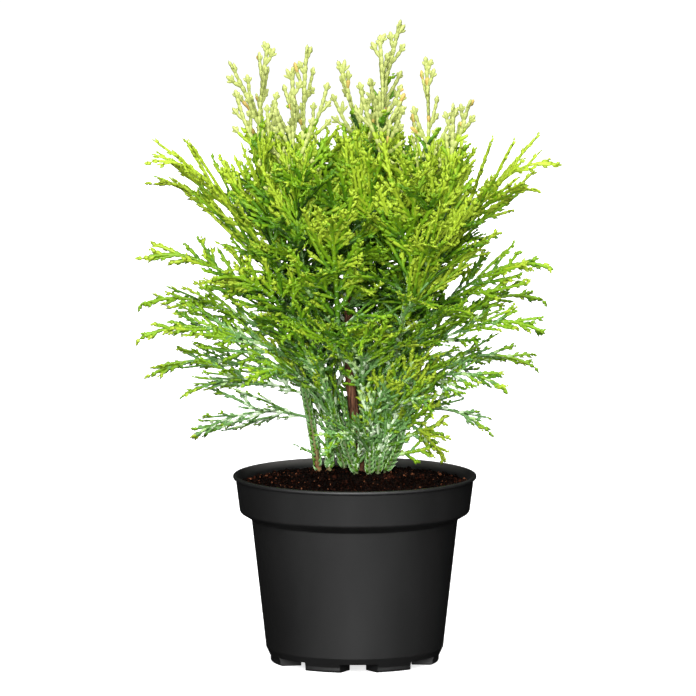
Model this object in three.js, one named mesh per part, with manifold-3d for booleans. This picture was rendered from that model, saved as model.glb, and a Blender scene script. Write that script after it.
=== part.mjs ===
// A young conifer with flat sprays of scale leaves, growing in a round black nursery pot.
// Millimetres, +Z up. The origin is the middle of the pot's flat underside, on the ground.
// +X is to the right and -Y to the front.

import * as THREE from 'three';
import { mergeVertices } from 'three/addons/utils/BufferGeometryUtils.js';
import Module from 'manifold-3d';

const wasm = await Module();
wasm.setup();

// Pot: heights from the ground and outer radii.
const POT_HEIGHT = 131;
const LIP_RADIUS = 85;
const LIP_HEIGHT = 3;
const BAND_TOP_RADIUS = 83.2;
const BAND_BOTTOM_RADIUS = 80.2;
const BAND_BOTTOM = 105.3;
const BODY_TOP_RADIUS = 72.3;
const BODY_BOTTOM_RADIUS = 62.2;
const FOOT_RADIUS = 58.6;
const FOOT_INNER_RADIUS = 45;
const FOOT_HEIGHT = 10;
const WALL = 1.2;
const FLOOR_UNDERSIDE = 5.9;
const PAD_RADIUS = 24;
const ROUND_STEPS = 36;

// Drainage notches round the foot, each a wedge that narrows inwards.
const NOTCHES = 7;
const NOTCH_OUTER_WIDTH = 27;
const NOTCH_INNER_WIDTH = 9.5;
const NOTCH_DEPTH = 8;
const NOTCH_TURN = -87.6;

// Soil: a low mound with a level top where the plant stands.
const SOIL_TOP = 132;
const SOIL_EDGE = 124;
const SOIL_LEVEL_RADIUS = 34;

// Clearance between two pieces that touch.
const GAP = 0.3;

// Limbs: where each stands on the soil, its tip, how far its middle bows off the straight line,
// and its radius at the foot and at the tip.
const LIMBS = [
  { name: 'trunk', foot: [7, 9], tip: [4, 5, 322], bow: [-10, 0], radius: [4.2, 1.3] },
  { name: 'stem_left', foot: [-25, 8], tip: [-56, 2, 288], bow: [2, -2], radius: [2.1, 1.1] },
  { name: 'stem_mid_left', foot: [-18, 15], tip: [-28, 22, 302], bow: [5, 2], radius: [2.1, 1] },
  { name: 'stem_centre_left', foot: [1, -3], tip: [-38, -20, 292], bow: [-6, -3], radius: [1.9, 1] },
  { name: 'stem_centre', foot: [10, -5], tip: [-12, -20, 240], bow: [7, -3], radius: [2.1, 1.1] },
  { name: 'stem_centre_right', foot: [16, 1], tip: [42, -14, 288], bow: [-1, -3], radius: [2.1, 1.1] },
  { name: 'stem_right', foot: [21, 7], tip: [33, -2, 163], bow: [2, -1], radius: [1.5, 1] },
  { name: 'stem_back_left', foot: [-7, 21], tip: [-46, 46, 294], bow: [-3, 4], radius: [2, 1] },
  { name: 'stem_back', foot: [5, 24], tip: [8, 54, 298], bow: [0, 4], radius: [2, 1] },
  { name: 'stem_back_right', foot: [19, 18], tip: [56, 32, 290], bow: [3, 4], radius: [2.1, 1] },
];
const ROOT_FLARE = 2;
const FLARE_FADE = 30;
const TRUNK_SIDES = 8;
const STEM_SIDES = 5;
const LIMB_STEPS = 8;

// Tiers of spreading sprays from the lowest up. Each spray has the way it grows, in degrees from
// +X towards +Y, the height of its tip, its reach from the crown's axis, and the roll of its flat
// fan from level.
const CROWN_AXIS_X = -8;
const TIERS = [
  [[4, 160, 102, -10], [176, 155, 106, 8], [-98, 158, 84, 10], [82, 160, 88, 0]],
  [[-12, 192, 117, 22], [190, 187, 116, 62], [-50, 184, 96, -15], [125, 190, 98, 12]],
  [[10, 203, 136, -12], [172, 198, 136, 10], [-128, 206, 110, 14], [76, 208, 112, -8]],
  [[-9, 233, 142, 14], [188, 229, 143, -16], [-84, 232, 116, -20], [112, 230, 118, 10]],
  [[13, 249, 143, -10], [168, 246, 144, 12], [-42, 252, 122, 28], [140, 250, 124, -10]],
  [[-6, 277, 147, 18], [184, 284, 140, -14], [-140, 276, 122, 24], [62, 288, 120, 12]],
  [[-14, 334, 138, 20], [170, 332, 135, -22], [-96, 322, 112, 30], [108, 328, 114, -12]],
  [[8, 347, 149, -24], [192, 354, 136, 30], [-58, 350, 100, -30], [72, 356, 108, 16]],
];

// How a tier's sprays follow from the height of their tips: the rise from root to tip, and the
// slope in degrees at either end. Those to the front and back start lower and steeper.
const CROSS_SINK = 24;
const CROSS_LIFT = 26;
const LEVEL_TIP = 190;
const RISE_RATE = 0.45;
const LOWEST_TIP = 155;
const LIFT_LOW = 16;
const LIFT_RATE = 0.16;
const DROOP_LOW = -40;
const DROOP_RATE = 0.17;

// Upright sprays that make the top: the limb that each goes on from, its tip, the way the edge of
// its fan faces, and the height of its root where that isn't the limb's tip.
const LEADERS = [
  { name: 'leader_top', limb: 'trunk', tip: [32, 2, 450], edge: 12 },
  { name: 'leader_left', limb: 'stem_left', tip: [-60, -2, 434], edge: -20 },
  { name: 'leader_mid_left', limb: 'stem_mid_left', tip: [-33, 24, 430], edge: 35 },
  { name: 'leader_centre_left', limb: 'stem_centre_left', tip: [-43, -22, 420], edge: 10 },
  { name: 'leader_front', limb: 'stem_centre', tip: [-64, -48, 271], edge: 205 },
  { name: 'leader_centre_right', limb: 'stem_centre_right', tip: [49, -14, 426], edge: -15 },
  { name: 'leader_low_right', limb: 'stem_right', tip: [60, -14, 148], edge: -60 },
  { name: 'leader_back_left', limb: 'stem_back_left', tip: [-88, 38, 417], edge: 50 },
  { name: 'leader_back', limb: 'stem_back', tip: [-12, 58, 415], edge: 0 },
  { name: 'leader_back_right', limb: 'stem_back_right', tip: [81, 30, 391], edge: 30 },
  { name: 'leader_inner', limb: 'trunk', root: 290, tip: [17, -16, 441], edge: -30 },
  { name: 'leader_right', limb: 'stem_centre_right', root: 242, tip: [68, -34, 396], edge: 20 },
];
const LEADER_LIFT = 60;

// A spray: its axis of straight stretches, the bare share at its foot, the length of its longest
// shoots to its own, its stations of two shoots, and the angle of a shoot to the axis.
const AXIS_STEPS = 5;
const BARE = 0.18;
const FAN_WIDTH = 0.34;
const STATIONS = 6;
const FORKED_STATION = 1;
const SHOOT_ANGLE_LOW = 46;
const SHOOT_ANGLE_TIP = 30;
const FORK_ANGLE = 36;
const FORK_AT = 0.36;
const FORK_LEAF = 0.45;
const HANDLE = 0.36;

// Twigs have three sides and leaves eight faces. Roots are sunk into what carries them.
const AXIS_RADIUS = [1.5, 0.7];
const TWIG_RADIUS = [0.9, 0.5];
const LEAF_WIDTH = 6.4;
const LEAF_THICKNESS = 1.8;
const LEAF_WIDEST_AT = 0.38;
const LEAF_SHORTEST = 12;
const ROOT_DEPTH = 0.4;
const CLEARANCE = 0.5;

const finish = (color, roughness) => new THREE.MeshStandardMaterial({ color, roughness, metalness: 0 });
const BLACK_PLASTIC = finish(0x1d1e20, 0.42);
const PEAT = finish(0x2a140d, 0.95);
const BARK = finish(0x6b4429, 0.85);
const YOUNG_BARK = finish(0x7f9a55, 0.75);
const FOLIAGE = finish(0x5f9c1c, 0.65);
const NEW_FOLIAGE = finish(0x9ebf3a, 0.65);

const radians = THREE.MathUtils.degToRad;
const mix = THREE.MathUtils.lerp;

// A seeded run of numbers from 0 to 1, so that the plant always grows the same.
function dice(seed) {
  let state = Math.imul(seed + 1, 2654435761) >>> 0;
  return () => {
    state = (Math.imul(state, 1664525) + 1013904223) >>> 0;
    return state / 4294967296;
  };
}

function direction(azimuth, slope) {
  const flat = Math.cos(slope);
  return new THREE.Vector3(flat * Math.cos(azimuth), flat * Math.sin(azimuth), Math.sin(slope));
}

function squareTo(tangent, wanted) {
  return wanted.clone().addScaledVector(tangent, -wanted.dot(tangent)).normalize();
}

function onwards(from, along, distance) {
  return from.clone().addScaledVector(along, distance);
}

function solidOf(geometry) {
  geometry.deleteAttribute('normal');
  geometry.deleteAttribute('uv');
  const merged = mergeVertices(geometry, 1e-4);
  const vertProperties = new Float32Array(merged.attributes.position.array);
  const triVerts = new Uint32Array(merged.index.array);
  return new wasm.Manifold(new wasm.Mesh({ numProp: 3, vertProperties, triVerts }));
}

function geometryOf(solid) {
  const mesh = solid.getMesh();
  const geometry = new THREE.BufferGeometry();
  geometry.setAttribute('position', new THREE.BufferAttribute(mesh.vertProperties, 3));
  geometry.setIndex(new THREE.BufferAttribute(mesh.triVerts, 1));
  geometry.computeVertexNormals();
  return geometry;
}

// A round body from its profile of radius and height, standing on Z.
function turned(profile) {
  const points = profile.map(([radius, height]) => new THREE.Vector2(radius, height));
  return new THREE.LatheGeometry(points, ROUND_STEPS).rotateX(Math.PI / 2);
}

// A rod through points: a cylinder whose rings are carried to them, each square to the way on.
// The first corner of a ring lies towards the edge given, and the foot may have a way of its own.
function rod(points, radiusAt, edge, sides, footWay) {
  const steps = points.length - 1;
  const geometry = new THREE.CylinderGeometry(1, 1, 1, sides, steps);
  const position = geometry.attributes.position;
  for (let i = 0; i < position.count; i += 1) {
    const ring = Math.round((position.getY(i) + 0.5) * steps);
    const before = points[Math.max(ring - 1, 0)];
    const onWay = points[Math.min(ring + 1, steps)].clone().sub(before).normalize();
    const tangent = ring === 0 && footWay ? footWay : onWay;
    const side = squareTo(tangent, edge);
    const across = side.clone().cross(tangent);
    const radius = radiusAt(ring / steps);
    const corner = onwards(points[ring], side, position.getX(i) * radius);
    corner.addScaledVector(across, position.getZ(i) * radius);
    position.setXYZ(i, corner.x, corner.y, corner.z);
  }
  return geometry;
}

// Pot: one thin wall from the foot to the lip, a raised floor and a pad in the middle under it.
function makePot() {
  const floorTop = FLOOR_UNDERSIDE + WALL;
  const lipUnderside = POT_HEIGHT - LIP_HEIGHT;
  let pot = solidOf(turned([
    [0, 0],
    [PAD_RADIUS, 0],
    [PAD_RADIUS, FLOOR_UNDERSIDE],
    [FOOT_INNER_RADIUS, FLOOR_UNDERSIDE],
    [FOOT_INNER_RADIUS, 0],
    [FOOT_RADIUS, 0],
    [FOOT_RADIUS, FOOT_HEIGHT],
    [BODY_BOTTOM_RADIUS, FOOT_HEIGHT + WALL],
    [BODY_TOP_RADIUS, BAND_BOTTOM],
    [BAND_BOTTOM_RADIUS, BAND_BOTTOM],
    [BAND_TOP_RADIUS, lipUnderside],
    [LIP_RADIUS, lipUnderside],
    [LIP_RADIUS, POT_HEIGHT],
    [BAND_TOP_RADIUS - WALL, POT_HEIGHT],
    [BAND_BOTTOM_RADIUS - WALL, BAND_BOTTOM + WALL],
    [BODY_TOP_RADIUS - WALL, BAND_BOTTOM + WALL],
    [BODY_BOTTOM_RADIUS - WALL, FOOT_HEIGHT + 2 * WALL],
    [FOOT_RADIUS - WALL, floorTop],
    [0, floorTop],
  ]));

  const spread = (NOTCH_OUTER_WIDTH - NOTCH_INNER_WIDTH) / NOTCH_DEPTH;
  const innerHalf = NOTCH_INNER_WIDTH / 2;
  const outerHalf = innerHalf + spread * NOTCH_DEPTH;
  const wedge = new THREE.Shape([
    new THREE.Vector2(FOOT_RADIUS - NOTCH_DEPTH, -innerHalf),
    new THREE.Vector2(FOOT_RADIUS + NOTCH_DEPTH, -outerHalf),
    new THREE.Vector2(FOOT_RADIUS + NOTCH_DEPTH, outerHalf),
    new THREE.Vector2(FOOT_RADIUS - NOTCH_DEPTH, innerHalf),
  ]);
  for (let i = 0; i < NOTCHES; i += 1) {
    const notch = new THREE.ExtrudeGeometry(wedge, { depth: FLOOR_UNDERSIDE + 1, bevelEnabled: false });
    notch.translate(0, 0, -1).rotateZ(radians(NOTCH_TURN + (i * 360) / NOTCHES));
    pot = pot.subtract(solidOf(notch));
  }
  return geometryOf(pot);
}

// Soil: it fills the pot to a finger's breadth below the lip and rises to the plant.
function makeSoil() {
  const inside = WALL + GAP;
  const bottom = FLOOR_UNDERSIDE + inside;
  const ledge = BAND_BOTTOM + inside;
  const climb = (SOIL_EDGE - BAND_BOTTOM) / (POT_HEIGHT - BAND_BOTTOM);
  return turned([
    [0, bottom],
    [FOOT_RADIUS - inside, bottom],
    [BODY_BOTTOM_RADIUS - inside, FOOT_HEIGHT + 2 * WALL + GAP],
    [BODY_TOP_RADIUS - inside, ledge],
    [BAND_BOTTOM_RADIUS - inside, ledge],
    [mix(BAND_BOTTOM_RADIUS, BAND_TOP_RADIUS, climb) - inside, SOIL_EDGE],
    [SOIL_LEVEL_RADIUS, SOIL_TOP],
    [0, SOIL_TOP],
  ]);
}

// A limb's curve, from its foot on the soil to its tip.
function limbCurve({ foot, tip, bow }) {
  const start = new THREE.Vector3(...foot, SOIL_TOP + GAP);
  const end = new THREE.Vector3(...tip);
  const middle = start.clone().lerp(end, 0.5).add(new THREE.Vector3(2 * bow[0], 2 * bow[1], 0));
  return new THREE.QuadraticBezierCurve3(start, middle, end);
}

function limbRadius({ name, radius }, share) {
  const flare = name === 'trunk' ? ROOT_FLARE * Math.exp(-share * FLARE_FADE) : 0;
  return mix(...radius, share) + flare;
}

// A limb is a tapering rod, cut flat and level where it stands on the soil.
function makeLimb(limb) {
  const points = limb.curve.getPoints(LIMB_STEPS);
  const sides = limb.name === 'trunk' ? TRUNK_SIDES : STEM_SIDES;
  const geometry = rod(points, (share) => limbRadius(limb, share), new THREE.Vector3(1, 0, 0), sides);
  const position = geometry.attributes.position;
  for (let i = 0; i < position.count; i += 1) {
    if (position.getZ(i) < points[0].z + limb.radius[0]) position.setZ(i, points[0].z);
  }
  return geometry;
}

// The share of a limb's curve at a height, found by halving, as every limb climbs all the way.
function shareAtHeight(curve, height) {
  let low = 0;
  let high = 1;
  for (let i = 0; i < 20; i += 1) {
    const middle = (low + high) / 2;
    if (curve.getPoint(middle).z < height) low = middle;
    else high = middle;
  }
  return low;
}

// The root of a side spray: just off the bark of the limb that lies furthest the spray's way.
function rootOnLimb(candidates, height, azimuth, slope) {
  const outward = direction(azimuth, 0);
  const places = candidates.filter((limb) => limb.tip[2] > height).map((limb) => {
    const share = shareAtHeight(limb.curve, height);
    return { limb, share, point: limb.curve.getPoint(share) };
  });
  const { limb, share, point } = places.reduce((best, place) => (
    place.point.dot(outward) > best.point.dot(outward) ? place : best
  ));
  const cornersBack = AXIS_RADIUS[0] * Math.cos(Math.PI / 6) * Math.sin(slope);
  return onwards(point, outward, limbRadius(limb, share) + GAP + cornersBack);
}

function axisCurve(root, start, tip, end) {
  const handle = root.distanceTo(tip) * HANDLE;
  return new THREE.CubicBezierCurve3(root, onwards(root, start, handle), onwards(tip, end, -handle), tip);
}

function tierSpray(name, [turn, height, reach, roll]) {
  const azimuth = radians(turn);
  const crossing = Math.sin(azimuth) ** 2;
  const lift = radians(LIFT_LOW + (height - LOWEST_TIP) * LIFT_RATE + CROSS_LIFT * crossing);
  const droop = radians(DROOP_LOW + (height - LOWEST_TIP) * DROOP_RATE);
  const rootHeight = height - (height - LEVEL_TIP) * RISE_RATE - CROSS_SINK * crossing;
  const tip = direction(azimuth, 0).multiplyScalar(reach).add(new THREE.Vector3(CROWN_AXIS_X, 0, height));
  const root = rootOnLimb(limbs, rootHeight, azimuth, lift);
  const heading = Math.atan2(tip.y - root.y, tip.x - root.x);
  const curve = axisCurve(root, direction(heading, lift), tip, direction(heading, droop));
  return { name, curve, edge: direction(heading + Math.PI / 2, 0), roll: radians(roll) };
}

function leaderSpray({ name, limb: limbName, root: rootHeight, tip: tipPlace, edge }) {
  const limb = limbs.find((each) => each.name === limbName);
  const tip = new THREE.Vector3(...tipPlace);
  let start = limb.curve.getTangent(1);
  let root = limb.curve.getPoint(1);
  root.addScaledVector(start, GAP);
  if (rootHeight) {
    const heading = Math.atan2(tip.y - root.y, tip.x - root.x);
    start = direction(heading, radians(LEADER_LIFT));
    root = rootOnLimb([limb], rootHeight, heading, radians(LEADER_LIFT));
  }
  const chord = tip.clone().sub(root).normalize();
  const end = chord.multiplyScalar(2).sub(start).normalize();
  const curve = axisCurve(root, start, tip, end);
  return { name, curve, footWay: start, edge: direction(radians(edge), 0), roll: 0 };
}

// Space that is taken: every rod and leaf as a line with a radius, with the piece that owns it.
const taken = [];

function distanceOfLines(a, b, c, d) {
  const u = b.clone().sub(a);
  const v = d.clone().sub(c);
  const w = a.clone().sub(c);
  const spread = u.dot(u) * v.dot(v) - u.dot(v) ** 2;
  const clamp = (value) => THREE.MathUtils.clamp(value, 0, 1);
  let s = spread > 1e-6 ? clamp((u.dot(v) * v.dot(w) - v.dot(v) * u.dot(w)) / spread) : 0;
  const t = clamp((u.dot(v) * s + v.dot(w)) / v.dot(v));
  s = clamp((u.dot(v) * t - u.dot(w)) / u.dot(u));
  return onwards(onwards(w, u, s), v, -t).length();
}

function isFree(owner, from, to, radius) {
  return taken.every((line) => (
    line.owner === owner
    || distanceOfLines(from, to, line.from, line.to) > radius + line.radius + CLEARANCE
  ));
}

function take(owner, from, to, radius) {
  taken.push({ owner, from, to, radius });
}

// A flat leaf of eight faces, from its root along a direction, its width lying across.
function leafSolid(root, along, across, length) {
  const geometry = new THREE.OctahedronGeometry(1, 0);
  const position = geometry.attributes.position;
  for (let i = 0; i < position.count; i += 1) {
    const z = position.getZ(i);
    const share = Math.abs(z) > 0.5 ? (z + 1) / 2 : LEAF_WIDEST_AT;
    position.setXYZ(i, position.getX(i) * LEAF_WIDTH / 2, position.getY(i) * LEAF_THICKNESS / 2, share * length);
  }
  const normal = along.clone().cross(across);
  const place = new THREE.Matrix4().makeBasis(across, normal, along).setPosition(root);
  return solidOf(geometry.applyMatrix4(place));
}

// A leaf is left out where it would be too short or come near another mass or a limb.
function addLeaf(spray, foot, along, wanted, length) {
  const across = squareTo(along, wanted);
  const root = onwards(foot, along, -ROOT_DEPTH);
  const tip = onwards(foot, along, length);
  if (length < LEAF_SHORTEST || !isFree(spray.name, root, tip, LEAF_WIDTH / 2)) return;
  take(spray.name, root, tip, LEAF_WIDTH / 2);
  spray.parts.push(leafSolid(root, along, across, length + ROOT_DEPTH));
}

// The frame of a spray's fan at a share of its axis: its place, the way on, and across the fan.
function fanFrame(spray, share) {
  const step = Math.min(Math.floor(share * AXIS_STEPS), AXIS_STEPS - 1);
  const [from, to] = spray.joints.slice(step, step + 2);
  const forward = to.clone().sub(from).normalize();
  const across = squareTo(forward, spray.edge).applyAxisAngle(forward, spray.roll);
  return { place: from.clone().lerp(to, share * AXIS_STEPS - step), forward, across };
}

// A spray starts with its axis: a rod through its joints, and a leaf for the last stretch.
function startSpray(spray, index) {
  const joints = spray.curve.getPoints(AXIS_STEPS);
  const started = { ...spray, joints, length: spray.curve.getLength(), draw: dice(index), parts: [] };
  const rodJoints = joints.slice(0, AXIS_STEPS);
  for (let i = 1; i < AXIS_STEPS; i += 1) take(spray.name, joints[i - 1], joints[i], AXIS_RADIUS[0]);
  const axisRadius = (share) => mix(...AXIS_RADIUS, share);
  started.parts.push(solidOf(rod(rodJoints, axisRadius, spray.edge, 3, spray.footWay)));
  const { forward, across } = fanFrame(started, 1);
  addLeaf(started, joints[AXIS_STEPS - 1], forward, across, joints[AXIS_STEPS - 1].distanceTo(joints[AXIS_STEPS]));
  return started;
}

// How long the shoots are along the axis: none at the bare foot, longest before the middle.
function fanShape(share) {
  const open = (share - BARE) / (1 - BARE);
  return Math.sin(Math.PI * Math.max(open, 0) ** 0.62);
}

// One side shoot: a leaf, or a twig with a leaf at its end and one to its outer side.
function addShoot(spray, share, side, forked) {
  const { place, forward, across } = fanFrame(spray, share);
  const { draw } = spray;
  const normal = forward.clone().cross(across);
  const angle = mix(SHOOT_ANGLE_LOW, SHOOT_ANGLE_TIP, share) + (draw() - 0.5) * 8;
  const length = spray.length * FAN_WIDTH * fanShape(share) * (0.85 + 0.3 * draw());
  const heading = forward.clone().applyAxisAngle(normal, side * radians(angle));
  heading.addScaledVector(normal, (draw() - 0.5) * 0.3).normalize();
  if (!forked) {
    addLeaf(spray, place, heading, across, length);
    return;
  }
  const end = onwards(place, heading, length * (1 - FORK_LEAF));
  if (!isFree(spray.name, place, end, TWIG_RADIUS[0])) return;
  take(spray.name, place, end, TWIG_RADIUS[0]);
  spray.parts.push(solidOf(rod([place, end], (at) => mix(...TWIG_RADIUS, at), across, 3)));
  addLeaf(spray, end, heading, across, length * FORK_LEAF);
  const way = heading.clone().applyAxisAngle(normal, side * radians(FORK_ANGLE));
  addLeaf(spray, onwards(place, heading, length * FORK_AT), way, across, length * FORK_LEAF);
}

const limbs = LIMBS.map((limb) => ({ ...limb, curve: limbCurve(limb) }));
for (const limb of limbs) {
  const points = limb.curve.getPoints(LIMB_STEPS);
  for (let i = 1; i < points.length; i += 1) {
    take(limb.name, points[i - 1], points[i], limbRadius(limb, (i - 1) / LIMB_STEPS));
  }
}

const sprays = [
  ...TIERS.flatMap((rows, i) => rows.map((row, j) => tierSpray(`tier${i + 1}_spray${j + 1}`, row))),
  ...LEADERS.map(leaderSpray),
].map(startSpray);

// All sprays grow side by side, station by station, so that none takes its neighbours' space.
for (let station = 0; station < STATIONS; station += 1) {
  for (const spray of sprays) {
    const side = station % 2 ? -1 : 1;
    for (const [turn, offset] of [[side, 0], [-side, 0.4]]) {
      const share = mix(BARE, 0.92, (station + offset + 0.4 * spray.draw()) / STATIONS);
      addShoot(spray, share, turn, station === FORKED_STATION && turn === side);
    }
  }
}

const plant = new THREE.Group();
plant.name = 'potted_conifer';

function addPiece(name, geometry, material) {
  const mesh = new THREE.Mesh(geometry, material);
  mesh.name = name;
  plant.add(mesh);
}

addPiece('pot', makePot(), BLACK_PLASTIC);
addPiece('soil', makeSoil(), PEAT);
for (const limb of limbs) addPiece(limb.name, makeLimb(limb), limb.name === 'trunk' ? BARK : YOUNG_BARK);
for (const { name, parts } of sprays) {
  addPiece(name, geometryOf(wasm.Manifold.union(parts)), name.startsWith('leader') ? NEW_FOLIAGE : FOLIAGE);
}

export default plant;
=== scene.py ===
"""A young conifer with flat sprays of scale leaves in a black nursery pot.

The growing rule is in millimetres, and every mesh is in metres."""

import math

import bmesh
import bpy
import numpy as np
from mathutils import Matrix, Quaternion, Vector, noise


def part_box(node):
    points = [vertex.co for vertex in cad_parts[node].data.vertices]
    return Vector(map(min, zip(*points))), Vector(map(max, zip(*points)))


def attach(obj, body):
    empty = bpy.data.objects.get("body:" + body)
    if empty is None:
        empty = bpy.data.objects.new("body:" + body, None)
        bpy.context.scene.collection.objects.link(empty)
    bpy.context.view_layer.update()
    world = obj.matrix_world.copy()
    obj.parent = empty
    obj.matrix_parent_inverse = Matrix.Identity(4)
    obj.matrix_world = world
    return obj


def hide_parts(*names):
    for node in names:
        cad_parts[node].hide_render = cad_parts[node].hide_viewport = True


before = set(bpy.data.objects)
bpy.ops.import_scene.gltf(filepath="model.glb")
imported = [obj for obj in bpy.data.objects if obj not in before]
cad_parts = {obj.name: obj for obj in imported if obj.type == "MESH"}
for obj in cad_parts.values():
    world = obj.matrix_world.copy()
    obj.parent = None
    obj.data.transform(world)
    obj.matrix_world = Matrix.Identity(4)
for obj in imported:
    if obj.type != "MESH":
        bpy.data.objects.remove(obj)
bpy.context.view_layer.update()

bl_info = {
    "name": "Potted Conifer",
    "version": (1, 0, 0),
    "blender": (4, 5, 0),
    "location": "3D View > Sidebar > Conifer",
    "description": "Grows a young conifer in a nursery pot around its solid model",
    "category": "Add Mesh",
}

MM = 0.001
_, POT_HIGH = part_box("pot")
_, SOIL_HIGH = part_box("soil")

# Radius of the pot's inner wall at the rim, and height of the soil beside it, in millimetres
INNER_RIM = 82.8
SOIL_EDGE = 124


def shade(red, green, blue):
    """A colour of 0 to 255 as the linear values that a colour property holds."""
    return tuple(((part / 255 + 0.055) / 1.055) ** 2.4 for part in (red, green, blue))


def length_property(name, description, default):
    return bpy.props.FloatProperty(
        name=name, description=description, default=default, precision=5, unit="LENGTH"
    )


def colour_property(name, description, *parts):
    return bpy.props.FloatVectorProperty(
        name=name, description=description, default=shade(*parts), size=3, subtype="COLOR", min=0, max=1
    )


class PotSettings(bpy.types.PropertyGroup):
    height: length_property("Height", "Height of the lip above the ground", POT_HIGH.z)
    lip_radius: length_property("Lip radius", "Outer radius of the lip", POT_HIGH.x)
    wall: length_property("Wall", "Thickness of the wall", 1.2 * MM)
    plastic: colour_property("Plastic", "Colour of the moulded plastic", 18, 18, 18)


class SoilSettings(bpy.types.PropertyGroup):
    crumbs: bpy.props.IntProperty(name="Crumbs", description="Crumbs on the soil", default=8000, min=0)
    crumb: length_property("Crumb", "Length of a middling crumb", 1.15 * MM)
    peat: colour_property("Peat", "Colour of the damp peat", 11, 6, 4)
    fibre: colour_property("Fibre", "Colour of the drier, redder crumbs", 62, 29, 17)


class BarkSettings(bpy.types.PropertyGroup):
    relief: length_property("Relief", "Depth of the trunk's bark ridges", 0.55 * MM)
    trunk: colour_property("Trunk", "Colour of the old bark", 112, 72, 50)
    furrow: colour_property("Furrow", "Colour of the bark in its furrows", 52, 30, 22)
    stem: colour_property("Stem", "Colour of the young bark", 84, 100, 58)


class CrownSettings(bpy.types.PropertyGroup):
    scale_length: length_property("Scale length", "Spacing of scale leaves along a shoot", 3.4 * MM)
    scale_width: length_property("Scale width", "Width of a shoot over its scale leaves", 2.3 * MM)
    scale_thickness: length_property("Scale thickness", "Thickness of a shoot", 1.3 * MM)
    inner_spacing: length_property("Inner spacing", "Height between inner sprays on a limb", 6 * MM)


class TintSettings(bpy.types.PropertyGroup):
    # The deep and mid tints fall on leaves towards the roots of sprays and in the middle of the crown,
    # partly as painted shade of the crown's inside
    deep: colour_property("Deep", "Old shaded leaves", 36, 68, 8)
    mid: colour_property("Mid", "Grown leaves", 78, 124, 12)
    bright: colour_property("Bright", "Young leaves", 120, 161, 22)
    lime: colour_property("Lime", "New leaves in the light", 160, 186, 44)
    straw: colour_property("Straw", "New leaves at the top", 174, 184, 104)
    bronze: colour_property("Bronze", "Tinged leaves at a few tips", 194, 168, 88)
    blue: colour_property("Blue", "Bluish leaves near the stems", 106, 152, 80)
    frost: colour_property("Frost", "Whitish bloom on the oldest leaves", 216, 238, 198)
    pale: colour_property("Pale", "Leaves along the middle of a spray", 176, 208, 134)


class StageSettings(bpy.types.PropertyGroup):
    floor_radius: length_property("Floor radius", "How far the floor reaches", 14)
    camera_distance: length_property("Camera distance", "From the camera to its aim", 8.3)
    camera_rise: bpy.props.FloatProperty(
        name="Camera rise",
        description="Camera above the horizon",
        default=math.radians(7.8),
        subtype="ANGLE",
    )
    sky: bpy.props.FloatProperty(name="Sky", description="Light from all round", default=0.3, min=0)
    key: bpy.props.FloatProperty(name="Key", description="Power of the front light", default=108, min=0)


SETTINGS = {
    "conifer_pot": PotSettings,
    "conifer_soil": SoilSettings,
    "conifer_bark": BarkSettings,
    "conifer_crown": CrownSettings,
    "conifer_tints": TintSettings,
    "conifer_stage": StageSettings,
}


# Materials

class Value:
    """An output of a material's nodes. Sums on values add their Math nodes."""

    def __init__(self, finish, socket):
        self.finish = finish
        self.socket = socket

    def math(self, operation, first, second):
        return self.finish.node("ShaderNodeMath", {"operation": operation}, {0: first, 1: second})

    def __add__(self, other):
        return self.math("ADD", self, other)

    def __radd__(self, other):
        return self.math("ADD", other, self)

    def __mul__(self, other):
        return self.math("MULTIPLY", self, other)

    def __rmul__(self, other):
        return self.math("MULTIPLY", other, self)


class Finish:
    """The nodes of a material or a world, and the shader that they feed."""

    def __init__(self, owner, shader, **constants):
        owner.use_nodes = True
        self.owner = owner
        self.tree = owner.node_tree
        self.surface = self.tree.nodes[shader]
        self.feed(self.surface, constants)

    def feed(self, node, inputs):
        for name, value in inputs.items():
            socket = node.inputs[name.replace("_", " ") if isinstance(name, str) else name]
            if isinstance(value, Value):
                self.tree.links.new(value.socket, socket)
            elif socket.type == "RGBA":
                socket.default_value = (*value, 1)
            else:
                socket.default_value = value

    def node(self, kind, settings=None, inputs=None, output=0):
        """A node of one kind: its settings are set first, then its sockets."""
        made = self.tree.nodes.new(kind)
        for name, value in (settings or {}).items():
            setattr(made, name, value)
        self.feed(made, inputs or {})
        return Value(self, made.outputs[output])

    def place(self, climb=1):
        """The point of the object. A pattern is drawn out upwards where its climb is under 1."""
        point = self.node("ShaderNodeTexCoord", output="Object")
        return self.node("ShaderNodeMapping", {}, {"Vector": point, "Scale": (1, 1, climb)})

    def axis(self, letter):
        """One coordinate of the point of the object, in metres."""
        return self.node("ShaderNodeSeparateXYZ", {}, {"Vector": self.place()}, letter)

    def noise(self, scale, detail, climb=1, roughness=0.55):
        inputs = {"Vector": self.place(climb), "Scale": scale, "Detail": detail, "Roughness": roughness}
        return self.node("ShaderNodeTexNoise", {}, inputs)

    def grey(self, share, low, high, least=0, most=1):
        """The share where it lies between low and high, spread from the least to the most."""
        inputs = {"Value": share, "From Min": low, "From Max": high, "To Min": least, "To Max": most}
        return self.node("ShaderNodeMapRange", {}, inputs)

    def between(self, share, first, second):
        settings = {"data_type": "RGBA"}
        return self.node("ShaderNodeMix", settings, {0: share, 6: first, 7: second}, output=2)

    def patches(self, pattern, low, high, first, second):
        """The first colour where a pattern is low, turning into the second where it is high."""
        return self.between(self.grey(pattern, low, high), first, second)

    def dress(self, colour, roughness):
        self.feed(self.surface, {"Base Color": colour, "Roughness": roughness})

    def relief(self, height, distance, strength):
        inputs = {"Height": height, "Distance": distance, "Strength": strength}
        self.feed(self.surface, {"Normal": self.node("ShaderNodeBump", {}, inputs)})


def new_finish(name, **constants):
    """A material with one Principled surface, and what is the same all over it."""
    return Finish(bpy.data.materials.new(name), "Principled BSDF", **constants)


# Where the painted reflection of the light lies on the pot: just inside the wall, from a little above the
# soil up to the rim, and only towards the back
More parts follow.
